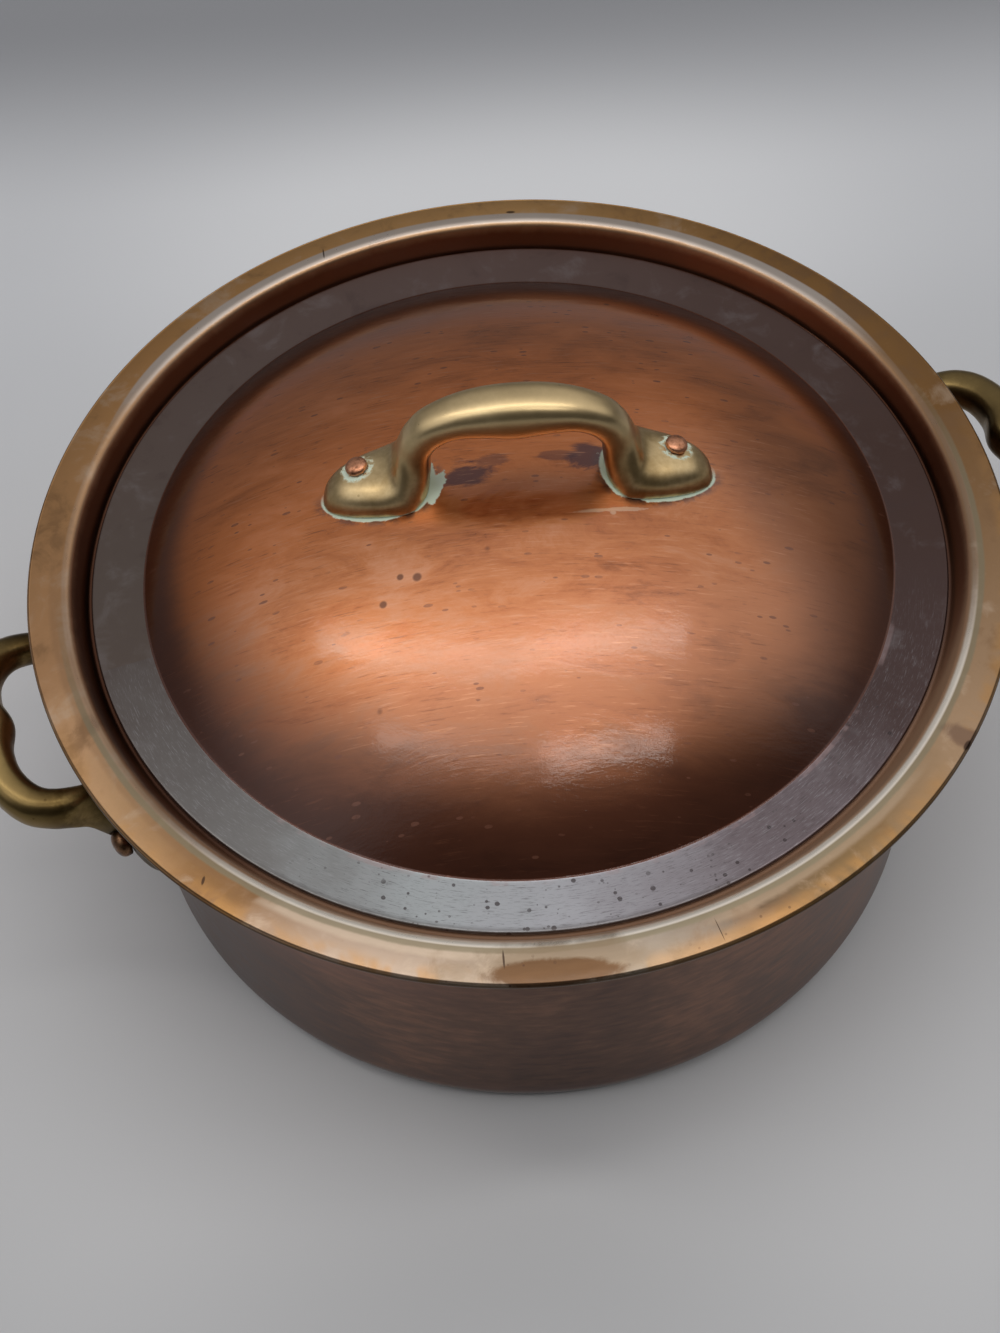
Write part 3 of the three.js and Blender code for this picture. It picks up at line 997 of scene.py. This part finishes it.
@dataclass(frozen=True)
class RimCopper:
    """The seat, the flared wall and the flange: dark red-brown inside, then brown, then satin gold and tan.

    A pair of radii, in metres, is where a zone starts and where it is full. The stops go round from -X.
    Painted light and shade are mixed into the colour: shade on the seat in the gap under the lid and over the flared
    wall, a highlight on the crest, a darker band just past it for the dark that the bend reflects, shade at the
    flange's edge, and light and shade in the ramp round the axis.
    """

    # dark red-brown of the flared wall: the copper's own colour darkened as painted shade of the recess between rim
    # and lid
    dark_wall_and_shade: Colour = (0.15, 0.055, 0.026)
    brown: Colour = (0.38, 0.225, 0.135)
    orange: Colour = (0.48, 0.25, 0.085)
    # olive stain colour, laid just past the crest also as painted shade for the dark that the bend reflects
    olive: Colour = (0.27, 0.225, 0.145)
    # colour of the painted highlight on the crest
    pale: Colour = (0.62, 0.55, 0.49)
    # radii of the seat's painted shade, in the gap under the lid's edge
    seat: Pair = (0.1256, 0.1248)
    # radii where the painted shade of the flared wall starts and is full
    wall: Pair = (0.1293, 0.1274)
    shadow: Pair = (0.13, 0.1284)
    shoulder: Pair = (0.13, 0.1287)
    # radii of the painted highlight on the crest, which reaches further out at the back
    crest: Pair = (0.1285, 0.1295)
    painted_highlight_reach: float = 0.1303
    # radii of that olive band, partly stains and partly painted shade
    olive_stain_and_shade_band: Pair = (0.1314, 0.1324)
    inner_half: Pair = (0.1352, 0.1335)
    outer_half: Pair = (0.1352, 0.1392)
    # radii of the flange's darker outer edge: the cut edge's own dark, and painted shade on the edge
    edge: Pair = (0.1406, 0.1409)
    # the flange's colour round the axis: patina, with painted light and shade for what each side reflects
    stops: Stops = (
        (0, (0.5, 0.275, 0.135)), (0.03, (0.6, 0.355, 0.19)), (0.06, (0.48, 0.29, 0.15)),
        (0.1, (0.29, 0.15, 0.06)), (0.145, (0.44, 0.32, 0.235)), (0.235, (0.42, 0.35, 0.28)),
        (0.27, (0.16, 0.105, 0.065)), (0.31, (0.23, 0.142, 0.065)), (0.37, (0.42, 0.275, 0.165)),
        (0.5, (0.25, 0.125, 0.043)), (0.6, (0.33, 0.168, 0.053)), (0.7, (0.62, 0.35, 0.135)),
        (0.85, (0.5, 0.26, 0.095)), (1, (0.5, 0.275, 0.135)),
    )

    def material(self) -> Material:
        """Makes the rim's material."""
        b = Surface("rim_copper")
        patch = b.noise(b.hoop(4.2, 34, 34), 1, 4, 0.62, 0.6)
        mottle = b.noise(b.place, 95, 5, 0.66, 0.5)
        hoops = b.noise(b.hoop(22, 900, 900), 1, 3, 0.6)
        reach = b.total(b.radius, (mottle, 0.0016), (patch, 0.0024), start=-0.002)
        around = b.total(b.around(), (patch, 0.06), (mottle, 0.03), start=-0.045)
        tone = b.total((patch, 0.6), (mottle, 0.4))
        specks = b.spots(b.scaled(b.place, (1, 1, 0.5)), 160, 0.26, 0.2)
        front = b.ease(b.y, 0.02, -0.06)
        near = b.ease(b.y, -0.05, -0.1)
        back = b.ease(b.total((b.y, 0.97), (b.x, 0.22)), 0.045, 0.085)
        # olive band past the crest: stains and painted shade
        beside = b.band(b.total(b.radius, (mottle, 0.0008)), *self.olive_stain_and_shade_band, 0.0008)
        # painted highlight along the crest
        high = b.calc("MULTIPLY_ADD", back, 0.0022, self.painted_highlight_reach)
        crest = b.times(b.ease(b.radius, *self.crest), b.ease(b.calc("SUBTRACT", b.radius, high), 0.0008, 0))
        # painted shade over the flared wall, narrower in front
        dark_wall_and_shade = b.ease(b.total(b.radius, (mottle, 0.0012), (near, 0.0022)), *self.wall)
        flange = b.coats(
            # the ramp round the axis: patina with painted light and shade
            b.shades(around, *self.stops),
            ((0.24, 0.13, 0.06), b.ease(tone, 0.49, 0.38), 0.55),
            ((0.62, 0.47, 0.34), b.ease(tone, 0.53, 0.64), 0.45),
            ((0.6, 0.42, 0.24), specks, b.ease(b.x, 0, -0.05), 0.45),
            (self.orange, b.ease(reach, *self.outer_half), b.ease(patch, 0.55, 0.46), front, 0.55),
        )
        inner = b.coats(
            flange,
            # partly patina, partly painted light: the inner half paler at the front left and front right, darker at
            # the far left
            ((0.6, 0.47, 0.35), b.band(around, 0.13, 0.2, 0.03), 0.7),
            ((0.46, 0.34, 0.23), b.band(around, 0.265, 0.335, 0.02), 0.6),
            ((0.3, 0.17, 0.09), b.ease(b.x, -0.09, -0.12), 0.4),
        )
        colour = b.coats(
            flange,
            (inner, b.ease(reach, *self.inner_half), b.ease(b.y, 0.07, 0)),
            # olive band past the crest in front: stains and painted shade
            (self.olive, beside, b.ease(b.y, 0.03, -0.03), 0.8),
            # painted highlight on the crest, strong at the back
            (self.pale, crest, b.calc("MAXIMUM", b.times(back, 0.85), 0.15)),
            # painted highlight on the crest, near white in front
            ((0.95, 0.86, 0.74), crest, b.ease(b.y, -0.05, -0.09)),
            (self.brown, b.ease(b.total(b.radius, (mottle, 0.001)), *self.shoulder), 0.9),
            # the flared wall's dark red-brown with its painted shade, paler in front
            (b.coats(self.dark_wall_and_shade, ((0.34, 0.19, 0.115), near)), dark_wall_and_shade),
            # painted shade on the seat in the gap under the lid, left out in front
            ((0.09, 0.04, 0.024), b.ease(b.radius, *self.seat), b.ease(near, 1, 0), 0.7),
            *self.marks(b, mottle),
            # the flange's edge darker: its own dark, and painted shade
            ((0.07, 0.04, 0.024), b.ease(b.radius, *self.edge), 0.85),
        )
        gap = b.times(b.ease(b.radius, *self.shadow), b.ease(b.y, -0.01, -0.095))
        rough = b.total((mottle, 0.16), (hoops, 0.12), (patch, 0.08), (crest, -0.06), start=0.18)
        height = b.total((hoops, 0.3), mottle)
        return b.finish(colour, b.calc("MULTIPLY_ADD", gap, -0.75, 1), rough, height, 0.04, film=(0.1, 0.1))

    def marks(self, b: Surface, mottle: Socket) -> list[tuple]:
        """Lists the coats of the brown stain in front, its specks, the crack, the hairline and the nicks.

        Args:
            b: The bench.
            mottle: The fine pattern, which breaks their edges.

        Returns:
            Shades and shares, for coats.
        """
        at = (b.x, b.y)
        loose = b.total((mottle, 2), start=-1)
        crisp = b.total((mottle, 0.9), start=-0.45)
        speckle = b.spots(b.place, 620, 0.34, 0.34)
        cracks = (
            ((-45.6, -125.8), (2.3, 0.26), 76), ((91, -106.5), (1.7, 0.7), 40), ((40.8, 127.2), (1.4, 0.6), -18),
            ((8.7, -136), (3, 0.13), 94), ((-112, -78), (1.2, 0.4), 60), ((-21, 130.5), (2.2, 0.25), 80),
        )
        return [
            ((0.26, 0.185, 0.115), b.blot(at, (-31, -131.2), (27, 5.2), -14, loose, 1.1), 0.75),
            ((0.135, 0.062, 0.024), b.blot(at, (-35, -133.1), (17, 3.5), -15, crisp, 0.35), 0.85),
            ((0.09, 0.045, 0.03), b.blot(at, (-40, -134), (20, 5), -15, loose, 1), speckle, 0.75),
            ((0.13, 0.07, 0.04), b.blot(at, (22, -137), (30, 3.6), 12, loose, 1.2), speckle, 0.6),
            ((0.14, 0.075, 0.055), b.blot(at, (91, -103.5), (4.5, 2.4), -40, loose, 0.9), 0.6),
            *(((0.05, 0.028, 0.02), b.blot(at, *crack), 0.85) for crack in cracks),
        ]


@dataclass(frozen=True)
class CastBrass:
    """Old cast brass, brighter off its face and brown near it. The bright is wear where a hand goes and also a
    painted highlight; the brown is patina in the lid handle's hollows, and painted shade under the rim on the loops.

    Attributes:
        name: The material's name.
        centre: Height of the middle of the round face that the pads sit on, or None for the upright wall, in mm.
        radius: Radius of that face, in mm.
        worn: Heights off the face between which the brass gets brighter, with wear and a painted highlight, in mm.
        growth: How much green there is at the foot.
        hollow: Height off the face below which the brass is brown: patina in a hollow, and painted shade under the
            rim on the loops, in mm.
        turn: Turn of the casting round the Z axis, in degrees.
        shift: Its slide along u, in mm.
        rivets: Places of the rivets that a pale growth rings, as u and v, in mm.
        soil_and_shade: How brown the foot is; on the loops this brown is painted shade.
    """

    name: str
    centre: float | None
    radius: float
    worn: tuple[float, float]
    growth: float
    hollow: float
    turn: float = 0.0
    shift: float = 0.0
    rivets: tuple[tuple[float, float], ...] = ()
    soil_and_shade: float = 0.7
    bright: Colour = (0.86, 0.66, 0.365)
    brass: Colour = (0.52, 0.36, 0.165)
    dark: Colour = (0.36, 0.235, 0.1)

    def material(self) -> Material:
        """Makes the casting's material."""
        b = Surface(self.name)
        cloud = b.noise(b.place, 42, 3, 0.5, 0.3)
        grain = b.noise(b.place, 620, 3, 0.6)
        fleck = b.noise(b.place, 300, 4, 0.65)
        length = b.radius
        if self.centre is not None:
            length = b.length(b.vector(b.x, b.y, b.calc("SUBTRACT", b.z, self.centre * MM)))
        off = b.calc("SUBTRACT", length, self.radius * MM)
        # brown near the face: patina in the lid handle's hollows, painted shade under the rim on the loops
        foot = b.ease(b.total(off, (cloud, 0.006)), self.hollow * MM + 0.003, self.hollow * MM - 0.003)
        green = self.green(b, off, fleck)
        tone = b.total((cloud, 0.8), (grain, 0.2))
        colour = b.coats(
            b.shades(tone, (0.34, self.dark), (0.47, self.brass), (0.68, self.bright)),
            # brighter off the face: wear, and a painted highlight on the bow's top and the loops' grips
            (self.bright, b.ease(b.total(off, (cloud, 0.008)), *(MM * level for level in self.worn)), 0.6),
            # brown near the face: patina, and on the loops painted shade
            (tuple(0.42 * part for part in self.brass), foot, self.soil_and_shade),
            (self.dark, b.spots(b.place, 420, 0.2, 0.14), 0.5),
            (VERDIGRIS, green),
        )
        rough = b.total((cloud, 0.14), (grain, 0.06), (foot, 0.12), (green, 0.3), start=0.24)
        height = b.total((cloud, 1.6), (grain, 0.06), (green, 0.5))
        return b.finish(colour, b.calc("SUBTRACT", 1, green), rough, height, 0.05)

    def green(self, b: Surface, off: Socket, fleck: Socket) -> Socket:
        """Draws the growth at the foot, and the rings round the rivets.

        Args:
            b: The bench.
            off: Height off the face, in metres.
            fleck: The pattern that breaks it up.

        Returns:
            The mask. A casting with ringed rivets has the growth in front only.
        """
        green = b.ease(b.total(off, (fleck, 0.0022)), 0.0021, 0.0014)
        green = b.times(green, self.growth, b.ease(fleck, 0.36, 0.5))
        if not self.rivets:
            return green
        _, v, own = b.spun(self.turn, self.shift)
        green = b.times(green, b.ease(v, 0.004, -0.003))
        for rivet in self.rivets:
            apart = b.total(b.away(own, rivet), (fleck, 0.005), start=-0.0025)
            deposit = b.times(b.ease(apart, 0.0052, 0.0044), b.ease(off, 0.0045, 0.0055), b.ease(fleck, 0.42, 0.54))
            green = b.calc("MAXIMUM", green, deposit)
        return green


@dataclass(frozen=True)
class RivetCopper:
    """Hammered copper, spotted with dark tarnish."""

    name: str
    bright: Colour = (0.74, 0.36, 0.215)
    copper: Colour = (0.6, 0.27, 0.15)
    dark: Colour = (0.26, 0.11, 0.06)

    def material(self) -> Material:
        """Makes the rivets' material."""
        b = Surface(self.name)
        dents = b.noise(b.place, 420, 2, 0.5)
        grain = b.noise(b.place, 1800, 3, 0.6)
        tone = b.total((dents, 0.6), (grain, 0.4))
        colour = b.shades(tone, (0.34, self.dark), (0.46, self.copper), (0.62, self.bright))
        rough = b.total((grain, 0.2), (dents, 0.1), start=0.2)
        return b.finish(colour, 1, rough, b.total((dents, 1), (grain, 0.15)), 0.2)


# ---------------------------------------------------------------- pieces


def settle(piece: Piece, node: str, body: Body, finishes: Sequence[Material],
           zones: Points | None = None) -> None:
    """Dresses a piece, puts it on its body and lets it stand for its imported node.

    Args:
        piece: The new piece.
        node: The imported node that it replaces.
        body: The body that it rides on.
        finishes: Its materials.
        zones: The finish's number for each face, or None when there is one finish.
    """
    piece.data.materials.clear()
    for finish in finishes:
        piece.data.materials.append(finish)
    if zones is not None:
        piece.data.polygons.foreach_set("material_index", zones.astype(np.int32))
    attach(piece, body.value)
    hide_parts(node)
    log.info("%s: %d faces, rides on %s", piece.name, len(piece.data.polygons), body.value)


def turn_sheet(path: SheetPath, steps: int, name: str, border: float,
               left: tuple[int, int]) -> tuple[Piece, Points]:
    """Turns a sheet into a piece and numbers the finish of each face.

    The faces are the quads row by row, then the fan at the first pole, then the fan at the last pole. The quads of
    the sheet's right face come first and have number 0.

    Args:
        path: The sheet's line, from the axis to its edge.
        steps: Columns round the axis.
        name: The piece's name.
        border: Radius at which the left face changes its finish, in mm.
        left: Numbers of the left face's finishes inside and outside that radius.

    Returns:
        The piece and its faces' numbers.
    """
    outline = path.outline()
    middle = (outline[1:-2, 0] + outline[2:-1, 0]) / 2
    rows = np.where(np.arange(len(middle)) < len(path.line) - 1, 0, np.where(middle < border, *left))
    zones = np.concatenate([np.repeat(rows, steps), np.full(steps, rows[0]), np.full(steps, rows[-1])])
    return turned(outline, steps).piece(name), zones


@dataclass
class Pot:
    """The raised copper shell."""

    sizes: PotSizes
    seat_edge: float = 1.2

    def build(self, tin: Material) -> None:
        """Builds the shell: brown outside, tinned inside, golden from the seat's inner edge to the rim.

        Args:
            tin: Finish of the inside.
        """
        sizes = self.sizes
        border = sizes.inner_radius + self.seat_edge
        piece, zones = turn_sheet(sizes.path(), sizes.steps, "pot_shell", border, (1, 2))
        finishes = (BodyCopper().material(), tin, RimCopper().material())
        settle(piece, "pot_body", Body.POT, finishes, zones)


@dataclass
class RivetedHandle:
    """A casting on a round face with its two rivets, in mm.

    Attributes:
        name: Name of the casting's piece.
        nodes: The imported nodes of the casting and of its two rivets, the one at -u first.
        body: The body that they ride on.
        frame: The casting's frame: u along it, v across it, w out from the face at the origin.
        face: Radius of the face.
        reach: Middle to each rivet.
        aside: Rivets off the middle line.
        pad_top: Pad thickness at the rivets.
        sheet: Thickness of the sheet behind.
        rivet: Sizes of the rivets.
        casting: Shape of the casting.
    """

    name: str
    nodes: tuple[str, str, str]
    body: Body
    frame: Matrix
    face: float
    reach: float
    aside: float
    pad_top: float
    sheet: float
    rivet: RivetSizes
    casting: Casting
    spot_depth: float = 0.5
    spot_steps: int = 48

    def rivet_frame(self, side: float) -> Matrix:
        """Finds a rivet's frame: turned about the face's centre, then out to the pad.

        Args:
            side: -1 or 1, the rivet at -u or +u.

        Returns:
            The 4x4 frame, in mm.
        """
        swing = Matrix.Rotation(math.asin(side * self.reach / self.face), 4, "Y")
        tilt = Matrix.Rotation(-self.aside / self.face, 4, "X")
        out = Matrix.Translation((0, 0, self.face + self.pad_top - self.spot_depth))
        return self.frame @ Matrix.Translation((0, 0, -self.face)) @ tilt @ swing @ out

    def build(self, under: Piece, brass: Material, copper: Material) -> None:
        """Builds the casting and its rivets.

        Args:
            under: The solid that the pads sit on, with their clearance, which is cut from the foot.
            brass: Finish of the casting.
            copper: Finish of the rivets.
        """
        piece = self.casting.skin().moved(self.frame).piece(self.name)
        frames = [self.rivet_frame(side) for side in (-1.0, 1.0)]
        spot = drum(self.rivet.head + CLEARANCE, 0.0, 2 * self.rivet.dome, self.spot_steps)
        cut(piece, [under, *(spot.moved(frame).piece("spot") for frame in frames)])
        settle(piece, self.nodes[0], self.body, (brass,))
        stack = self.pad_top - self.spot_depth + self.sheet
        for node, frame in zip(self.nodes[1:], frames):
            rivet = self.rivet.skin(stack).moved(frame).piece(node + "_head")
            settle(rivet, node, self.body, (copper,))


@dataclass
class Lid:
    """The domed copper lid and its brass bow handle."""

    sizes: LidSizes
    turn: float = -14.8
    shift: float = 1.4
    reach: float = 42.0
    aside: float = 2.0
    pad_top: float = 8.0
    high: float = 30.8
    ring_overlap: float = 0.3
    cut_steps: int = 256
    rivet: RivetSizes = RivetSizes(shank=1.9, head=3.1, dome=2.2, tail=3.4, tail_height=1.1)

    def casting(self) -> Casting:
        """Returns the bow with its two pads."""
        reach, thick, high = self.reach, self.pad_top, self.high
        leg = reach - 8.8
        pad = partial(on_face, self.sizes.face)
        outer = np.array([
            pad(reach + 12.3, 0.2), pad(reach + 10.9, thick * 0.55), pad(reach + 7.1, thick * 0.9),
            pad(reach + 1.4, thick), pad(reach - 4.4, thick + 0.3), pad(reach - 7.6, thick + 1.6),
            (leg, high * 0.3), (leg - 1.1, high * 0.43), (leg - 3.4, high - 12.4), (leg * 0.77, high - 7.3),
            (leg * 0.536, high - 3.1), (leg * 0.277, high - 0.8), (0, high),
        ])
        inner = np.array([
            pad(reach + 11.3, -2), pad(reach + 10.1, -4), pad(reach + 6.7, -5), pad(reach + 1.4, -5),
            pad(reach - 5.6, -5), pad(reach - 14, -5.4), (leg - 8.3, -4), (leg - 9.6, 4.1),
            (leg - 10.2, high * 0.35), (leg * 0.602, high - 15.6), (leg * 0.461, high - 13),
            (leg * 0.253, high - 12.9), (0, high - 14),
        ])
        widths = np.array([2, 4.6, 7.2, 9.4, 10.9, 11.3, 9.4, 6.5, 5.6, 5.6, 6.1, 6.8, 7.1])
        return Casting(outer, inner, widths, rises=0 * widths, fullness=0.8)

    def frame(self) -> Matrix:
        """Returns the handle's frame, slid along the dome from its top."""
        face = self.sizes.face
        centre = Matrix.Translation((0, 0, self.sizes.top - face))
        turn = Matrix.Rotation(math.radians(self.turn), 4, "Z")
        return centre @ turn @ Matrix.Rotation(self.shift / face, 4, "Y") @ Matrix.Translation((0, 0, face))

    def under(self) -> Piece:
        """Returns the solid under the dome's face with the pads' clearance: a ball's upper part."""
        ball = self.sizes.face + CLEARANCE
        angle = np.radians(np.linspace(45, 0, 60))
        arc = np.column_stack([ball * np.sin(angle), self.sizes.top - self.sizes.face + ball * np.cos(angle)])
        return turned(np.concatenate([[[0, arc[0, 1]]], arc]), self.cut_steps).piece("under_dome")

    def build(self, copper: Material, tin: Material) -> None:
        """Builds the sheet, tinned below, then the bow and its rivets.

        Args:
            copper: Finish of the rivets.
            tin: Finish of the underside.
        """
        sizes = self.sizes
        face = sizes.face
        piece, zones = turn_sheet(sizes.path(), sizes.steps, "lid_sheet", sizes.foot - self.ring_overlap, (2, 1))
        dome = DomeCopper(self.turn, self.shift, self.reach).material()
        settle(piece, "lid", Body.LID, (tin, RingCopper(sizes.foot).material(), dome), zones)
        out = (face + self.pad_top) / face
        rivets = tuple((side * self.reach * out, self.aside * out) for side in (-1.0, 1.0))
        # The bow's brighter top is wear and a painted highlight.
        brass = CastBrass(
            "lid_handle_brass", sizes.top - face, face, worn=(10.0, 24.0), growth=0.9, hollow=2.6,
            turn=self.turn, shift=self.shift, rivets=rivets, soil_and_shade=0.2,
        ).material()
        RivetedHandle(
            "lid_bow", ("lid_handle", "lid_rivet_left", "lid_rivet_right"), Body.LID, self.frame(),
            face, self.reach, self.aside, self.pad_top, sizes.sheet, self.rivet, self.casting(),
        ).build(self.under(), brass, copper)


@dataclass
class SideHandle:
    """One brass loop under the rim."""

    side: Side
    pot: PotSizes
    reach: float = 32.6
    pad_top: float = 13.0
    drop: float = 38.0
    rise: float = 19.5
    far: float = 44.7
    cut_levels: tuple[float, float] = (50.0, 120.0)
    rivet: RivetSizes = RivetSizes(shank=2.6, head=4.1, dome=4.2, tail=4.6, tail_height=1.4)

    def casting(self) -> Casting:
        """Returns the loop with its two pads. It climbs from its pads to its grip."""
        reach, thick, far = self.reach, self.pad_top, self.far
        pad = partial(on_face, self.pot.outer_radius)
        over = thick + np.array([0.142, 0.268, 0.442]) * (far - thick)
        under = thick + np.array([0.126, 0.385]) * (far - thick)
        outer = np.array([
            pad(reach + 15.9, 1.5), pad(reach + 15.2, thick - 5.5), pad(reach + 12, thick - 1),
            pad(reach + 7, thick + 0.2), pad(reach + 3, thick + 0.4), (reach - 0.2, thick + 0.8),
            (reach - 0.2, over[0]), (reach + 0.8, over[1]), (reach + 0.2, over[2]),
            (reach - 2.6, far - 11.2), (reach * 0.724, far - 6.1), (reach * 0.399, far - 2.4), (0, far),
        ])
        inner = np.array([
            pad(reach + 14.9, -3), pad(reach + 13.8, -5), pad(reach + 10.4, -6), pad(reach + 5.2, -6),
            pad(reach, -6), pad(reach - 5.6, -6), (reach - 10.8, -4.5), (reach - 9, 5),
            (reach - 8.2, under[0]), (reach - 9.8, under[1]), (reach * 0.503, far - 14.8),
            (reach * 0.245, far - 13.8), (0, far - 15.7),
        ])
        widths = np.array([4, 7.8, 10.2, 10.8, 10.2, 9, 7.3, 5.9, 5.7, 5.5, 5.6, 6.4, 7.2])
        climb = np.array([0, 0, 0, 0.02, 0.09, 0.25, 0.48, 0.64, 0.73, 0.82, 0.92, 0.98, 1]) * self.rise
        return Casting(outer, inner, widths, rises=climb, fullness=0.84)

    def build(self, copper: Material) -> None:
        """Builds the loop and its rivets. u runs along the wall, v up and w outwards.

        Args:
            copper: Finish of the rivets.
        """
        name, degrees = self.side.value
        level = self.pot.height - self.drop
        basis = Matrix(((0, 0, -1, -self.pot.outer_radius), (-1, 0, 0, 0), (0, 1, 0, level), (0, 0, 0, 1)))
        ends = ("back", "front") if self.side is Side.LEFT else ("front", "back")
        nodes = (f"side_handle_{name}", *(f"{name}_handle_rivet_{end}" for end in ends))
        wall = drum(self.pot.outer_radius + CLEARANCE, *self.cut_levels, self.pot.steps).piece("wall")
        # Painted shade: the loops' brass is a much darker copy of the lid handle's, for the shade under the rim, and
        # its brown reaches 22 mm off the wall. The brighter grip is wear and a painted highlight.
        brass = CastBrass(
            f"{name}_loop_brass_shaded", None, self.pot.outer_radius, worn=(27.0, 40.0), growth=0.25, hollow=22.0,
            bright=(0.38, 0.265, 0.105), brass=(0.115, 0.073, 0.025), dark=(0.055, 0.031, 0.01),
        ).material()
        RivetedHandle(
            f"{name}_loop", nodes, Body.POT, Matrix.Rotation(math.radians(degrees), 4, "Z") @ basis,
            self.pot.outer_radius, self.reach, 0.0, self.pad_top, self.pot.wall, self.rivet, self.casting(),
        ).build(wall, brass, copper)


# ---------------------------------------------------------------- studio


@dataclass(frozen=True)
class Strip:
    """A long soft lamp overhead, from one end to the other, in metres."""

    name: str
    start: tuple[float, float]
    end: tuple[float, float]
    width: float
    glow: float
    height: float = 1.45

    def hang(self) -> None:
        """Hangs the lamp so that it shines straight down. Its power is its glow for each square metre."""
        over = np.subtract(self.end, self.start)
        lamp = bpy.data.lights.new(self.name, "AREA")
        lamp.shape = "RECTANGLE"
        lamp.size = float(np.hypot(*over))
        lamp.size_y = self.width
        lamp.energy = self.glow * math.pi * lamp.size * lamp.size_y
        lamp.color = (1.0, 0.985, 0.96)
        hung = placed(self.name, lamp)
        hung.location = (*np.add(self.start, self.end) / 2, self.height)
        hung.rotation_euler = (0, 0, math.atan2(over[1], over[0]))


@dataclass(frozen=True)
class Studio:
    """Pale floor, soft light and the camera."""

    eye: tuple[float, float, float] = (-0.1049256, -0.3659191, 0.6074585)
    aim: tuple[float, float, float] = (34.58832, 2.3595, -18.32125)
    lens: float = 58.065
    sensor: float = 36.0
    nearest: float = 0.01
    floor_reach: float = 4.0
    floor_lines: int = 17
    floor_gap: float = 0.0002
    light: Stops = (
        (0.0, (0.13, 0.13, 0.13)), (0.35, (0.2, 0.2, 0.205)), (0.7, (0.4, 0.4, 0.41)), (1.0, (0.52, 0.52, 0.53)),
    )
    strips: tuple[Strip, ...] = (
        Strip("back_strip_left", (-1.04, 0.53), (-0.62, 0.17), 0.14, 4.1),
        Strip("back_strip_middle", (-0.61, 0.165), (-0.11, -0.11), 0.14, 3.5),
        Strip("back_strip_right", (-0.10, -0.11), (0.84, -0.20), 0.14, 4.1),
        Strip("front_strip_left", (-0.92, -0.19), (-0.50, -0.47), 0.13, 2.2),
        Strip("front_strip_middle", (-0.49, -0.475), (-0.11, -0.655), 0.13, 1.6),
        Strip("front_strip_right", (-0.10, -0.66), (0.62, -0.77), 0.13, 5.8),
    )

    def camera(self) -> None:
        """Makes the camera at the photograph's place and angle."""
        lens = bpy.data.cameras.new("camera")
        lens.lens = self.lens
        lens.sensor_width = self.sensor
        lens.clip_start = self.nearest
        camera = placed("camera", lens)
        camera.location = self.eye
        camera.rotation_euler = Euler([math.radians(angle) for angle in self.aim], "XYZ")
        bpy.context.scene.camera = camera

    def floor(self) -> None:
        """Lays a plain pale floor, a flat grid of points, with painted light: paler near the pot and in a band behind
        it, darker far behind and in front.
        """
        line = np.linspace(-self.floor_reach, self.floor_reach, self.floor_lines)
        x, y = (v.ravel() for v in np.meshgrid(line, line))
        here = np.arange(len(x)).reshape(len(line), -1)
        quads = np.stack([here[:-1, :-1], here[:-1, 1:], here[1:, 1:], here[1:, :-1]], axis=-1).reshape(-1, 4)
        mesh = bpy.data.meshes.new("floor")
        mesh.from_pydata(np.stack([x, y, 0 * x - self.floor_gap], axis=-1).tolist(), [], quads.tolist())
        floor = placed("floor", mesh)
        b = Surface("pale_floor")
        at = (b.x, b.y)
        back = b.total((b.x, 0.26), (b.y, 0.965))
        colour = b.coats(
            # painted light: paler near the pot, darker further out
            b.shades(b.ease(b.radius, 0.16, 0.36), (0, (0.74, 0.74, 0.75)), (1, (0.45, 0.46, 0.47))),
            # painted light: paler behind the pot
            ((0.7, 0.71, 0.735), b.ease(back, 0.06, 0.24)),
            # painted light: a bright band behind the pot
            ((0.86, 0.87, 0.89), b.blot(at, (75, 245), (135, 85), -15, 0, 1.1)),
            # painted shade: dark far behind
            ((0.33, 0.335, 0.355), b.ease(back, 0.27, 0.4)),
            # painted shadow in front of the pot
            ((0.4, 0.405, 0.415), b.blot(at, (-68, -184), (90, 40), -15, 0, 1.5), 0.4),
        )
        mesh.materials.append(b.finish(colour, 0, 0.6, b.noise(b.place, 700, 2), 0.02))

    def sky(self) -> None:
        """Makes the room's light: brighter overhead and at the sides, dark towards the front."""
        world = bpy.data.worlds.new("room")
        world.use_nodes = True
        b = Bench(world.node_tree)
        x, y, z = b.split(b.node("TexCoord").outputs["Generated"])
        light = b.coats(
            b.shades(z, *self.light),
            ((0.86, 0.86, 0.87), b.times(b.ease(b.calc("ABSOLUTE", x), 0.3, 0.8), b.ease(z, 0.3, 0.6)), 0.8),
            ((0.92, 0.92, 0.93), b.times(b.band(y, -0.22, 0.34, 0.16), b.ease(z, 0.72, 0.92)), 0.8),
            ((0.035, 0.035, 0.035), b.times(b.ease(y, -0.22, -0.5), b.ease(z, 1.0, 0.85)), 0.9),
        )
        b.node("OutputWorld", b.node("Background", light, 1.0).outputs[0])
        bpy.context.scene.world = world

    def build(self) -> None:
        """Sets up the whole studio."""
        self.camera()
        self.floor()
        self.sky()
        for strip in self.strips:
            strip.hang()
        bpy.context.scene.view_settings.view_transform = "Standard"


def main() -> None:
    """Loads the frame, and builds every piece."""
    logging.basicConfig(level=logging.INFO, format="%(message)s")
    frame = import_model()
    log.info("frame: %d nodes", len(frame["nodes"]))
    pot = PotSizes()
    bright = RivetCopper("lid_rivet_copper").material()
    # Painted shade: the loops' rivets get a darker copy of the rivet copper, for the shade under the rim.
    dull = RivetCopper("loop_rivet_copper_shaded", (0.26, 0.14, 0.075), (0.15, 0.078, 0.042), (0.06, 0.03, 0.018)).material()
    tin = TinLining().material()
    Studio().build()
    Pot(pot).build(tin)
    Lid(LidSizes(pot)).build(bright, tin)
    for side in Side:
        SideHandle(side, pot).build(dull)


if __name__ == "__main__":
    main()
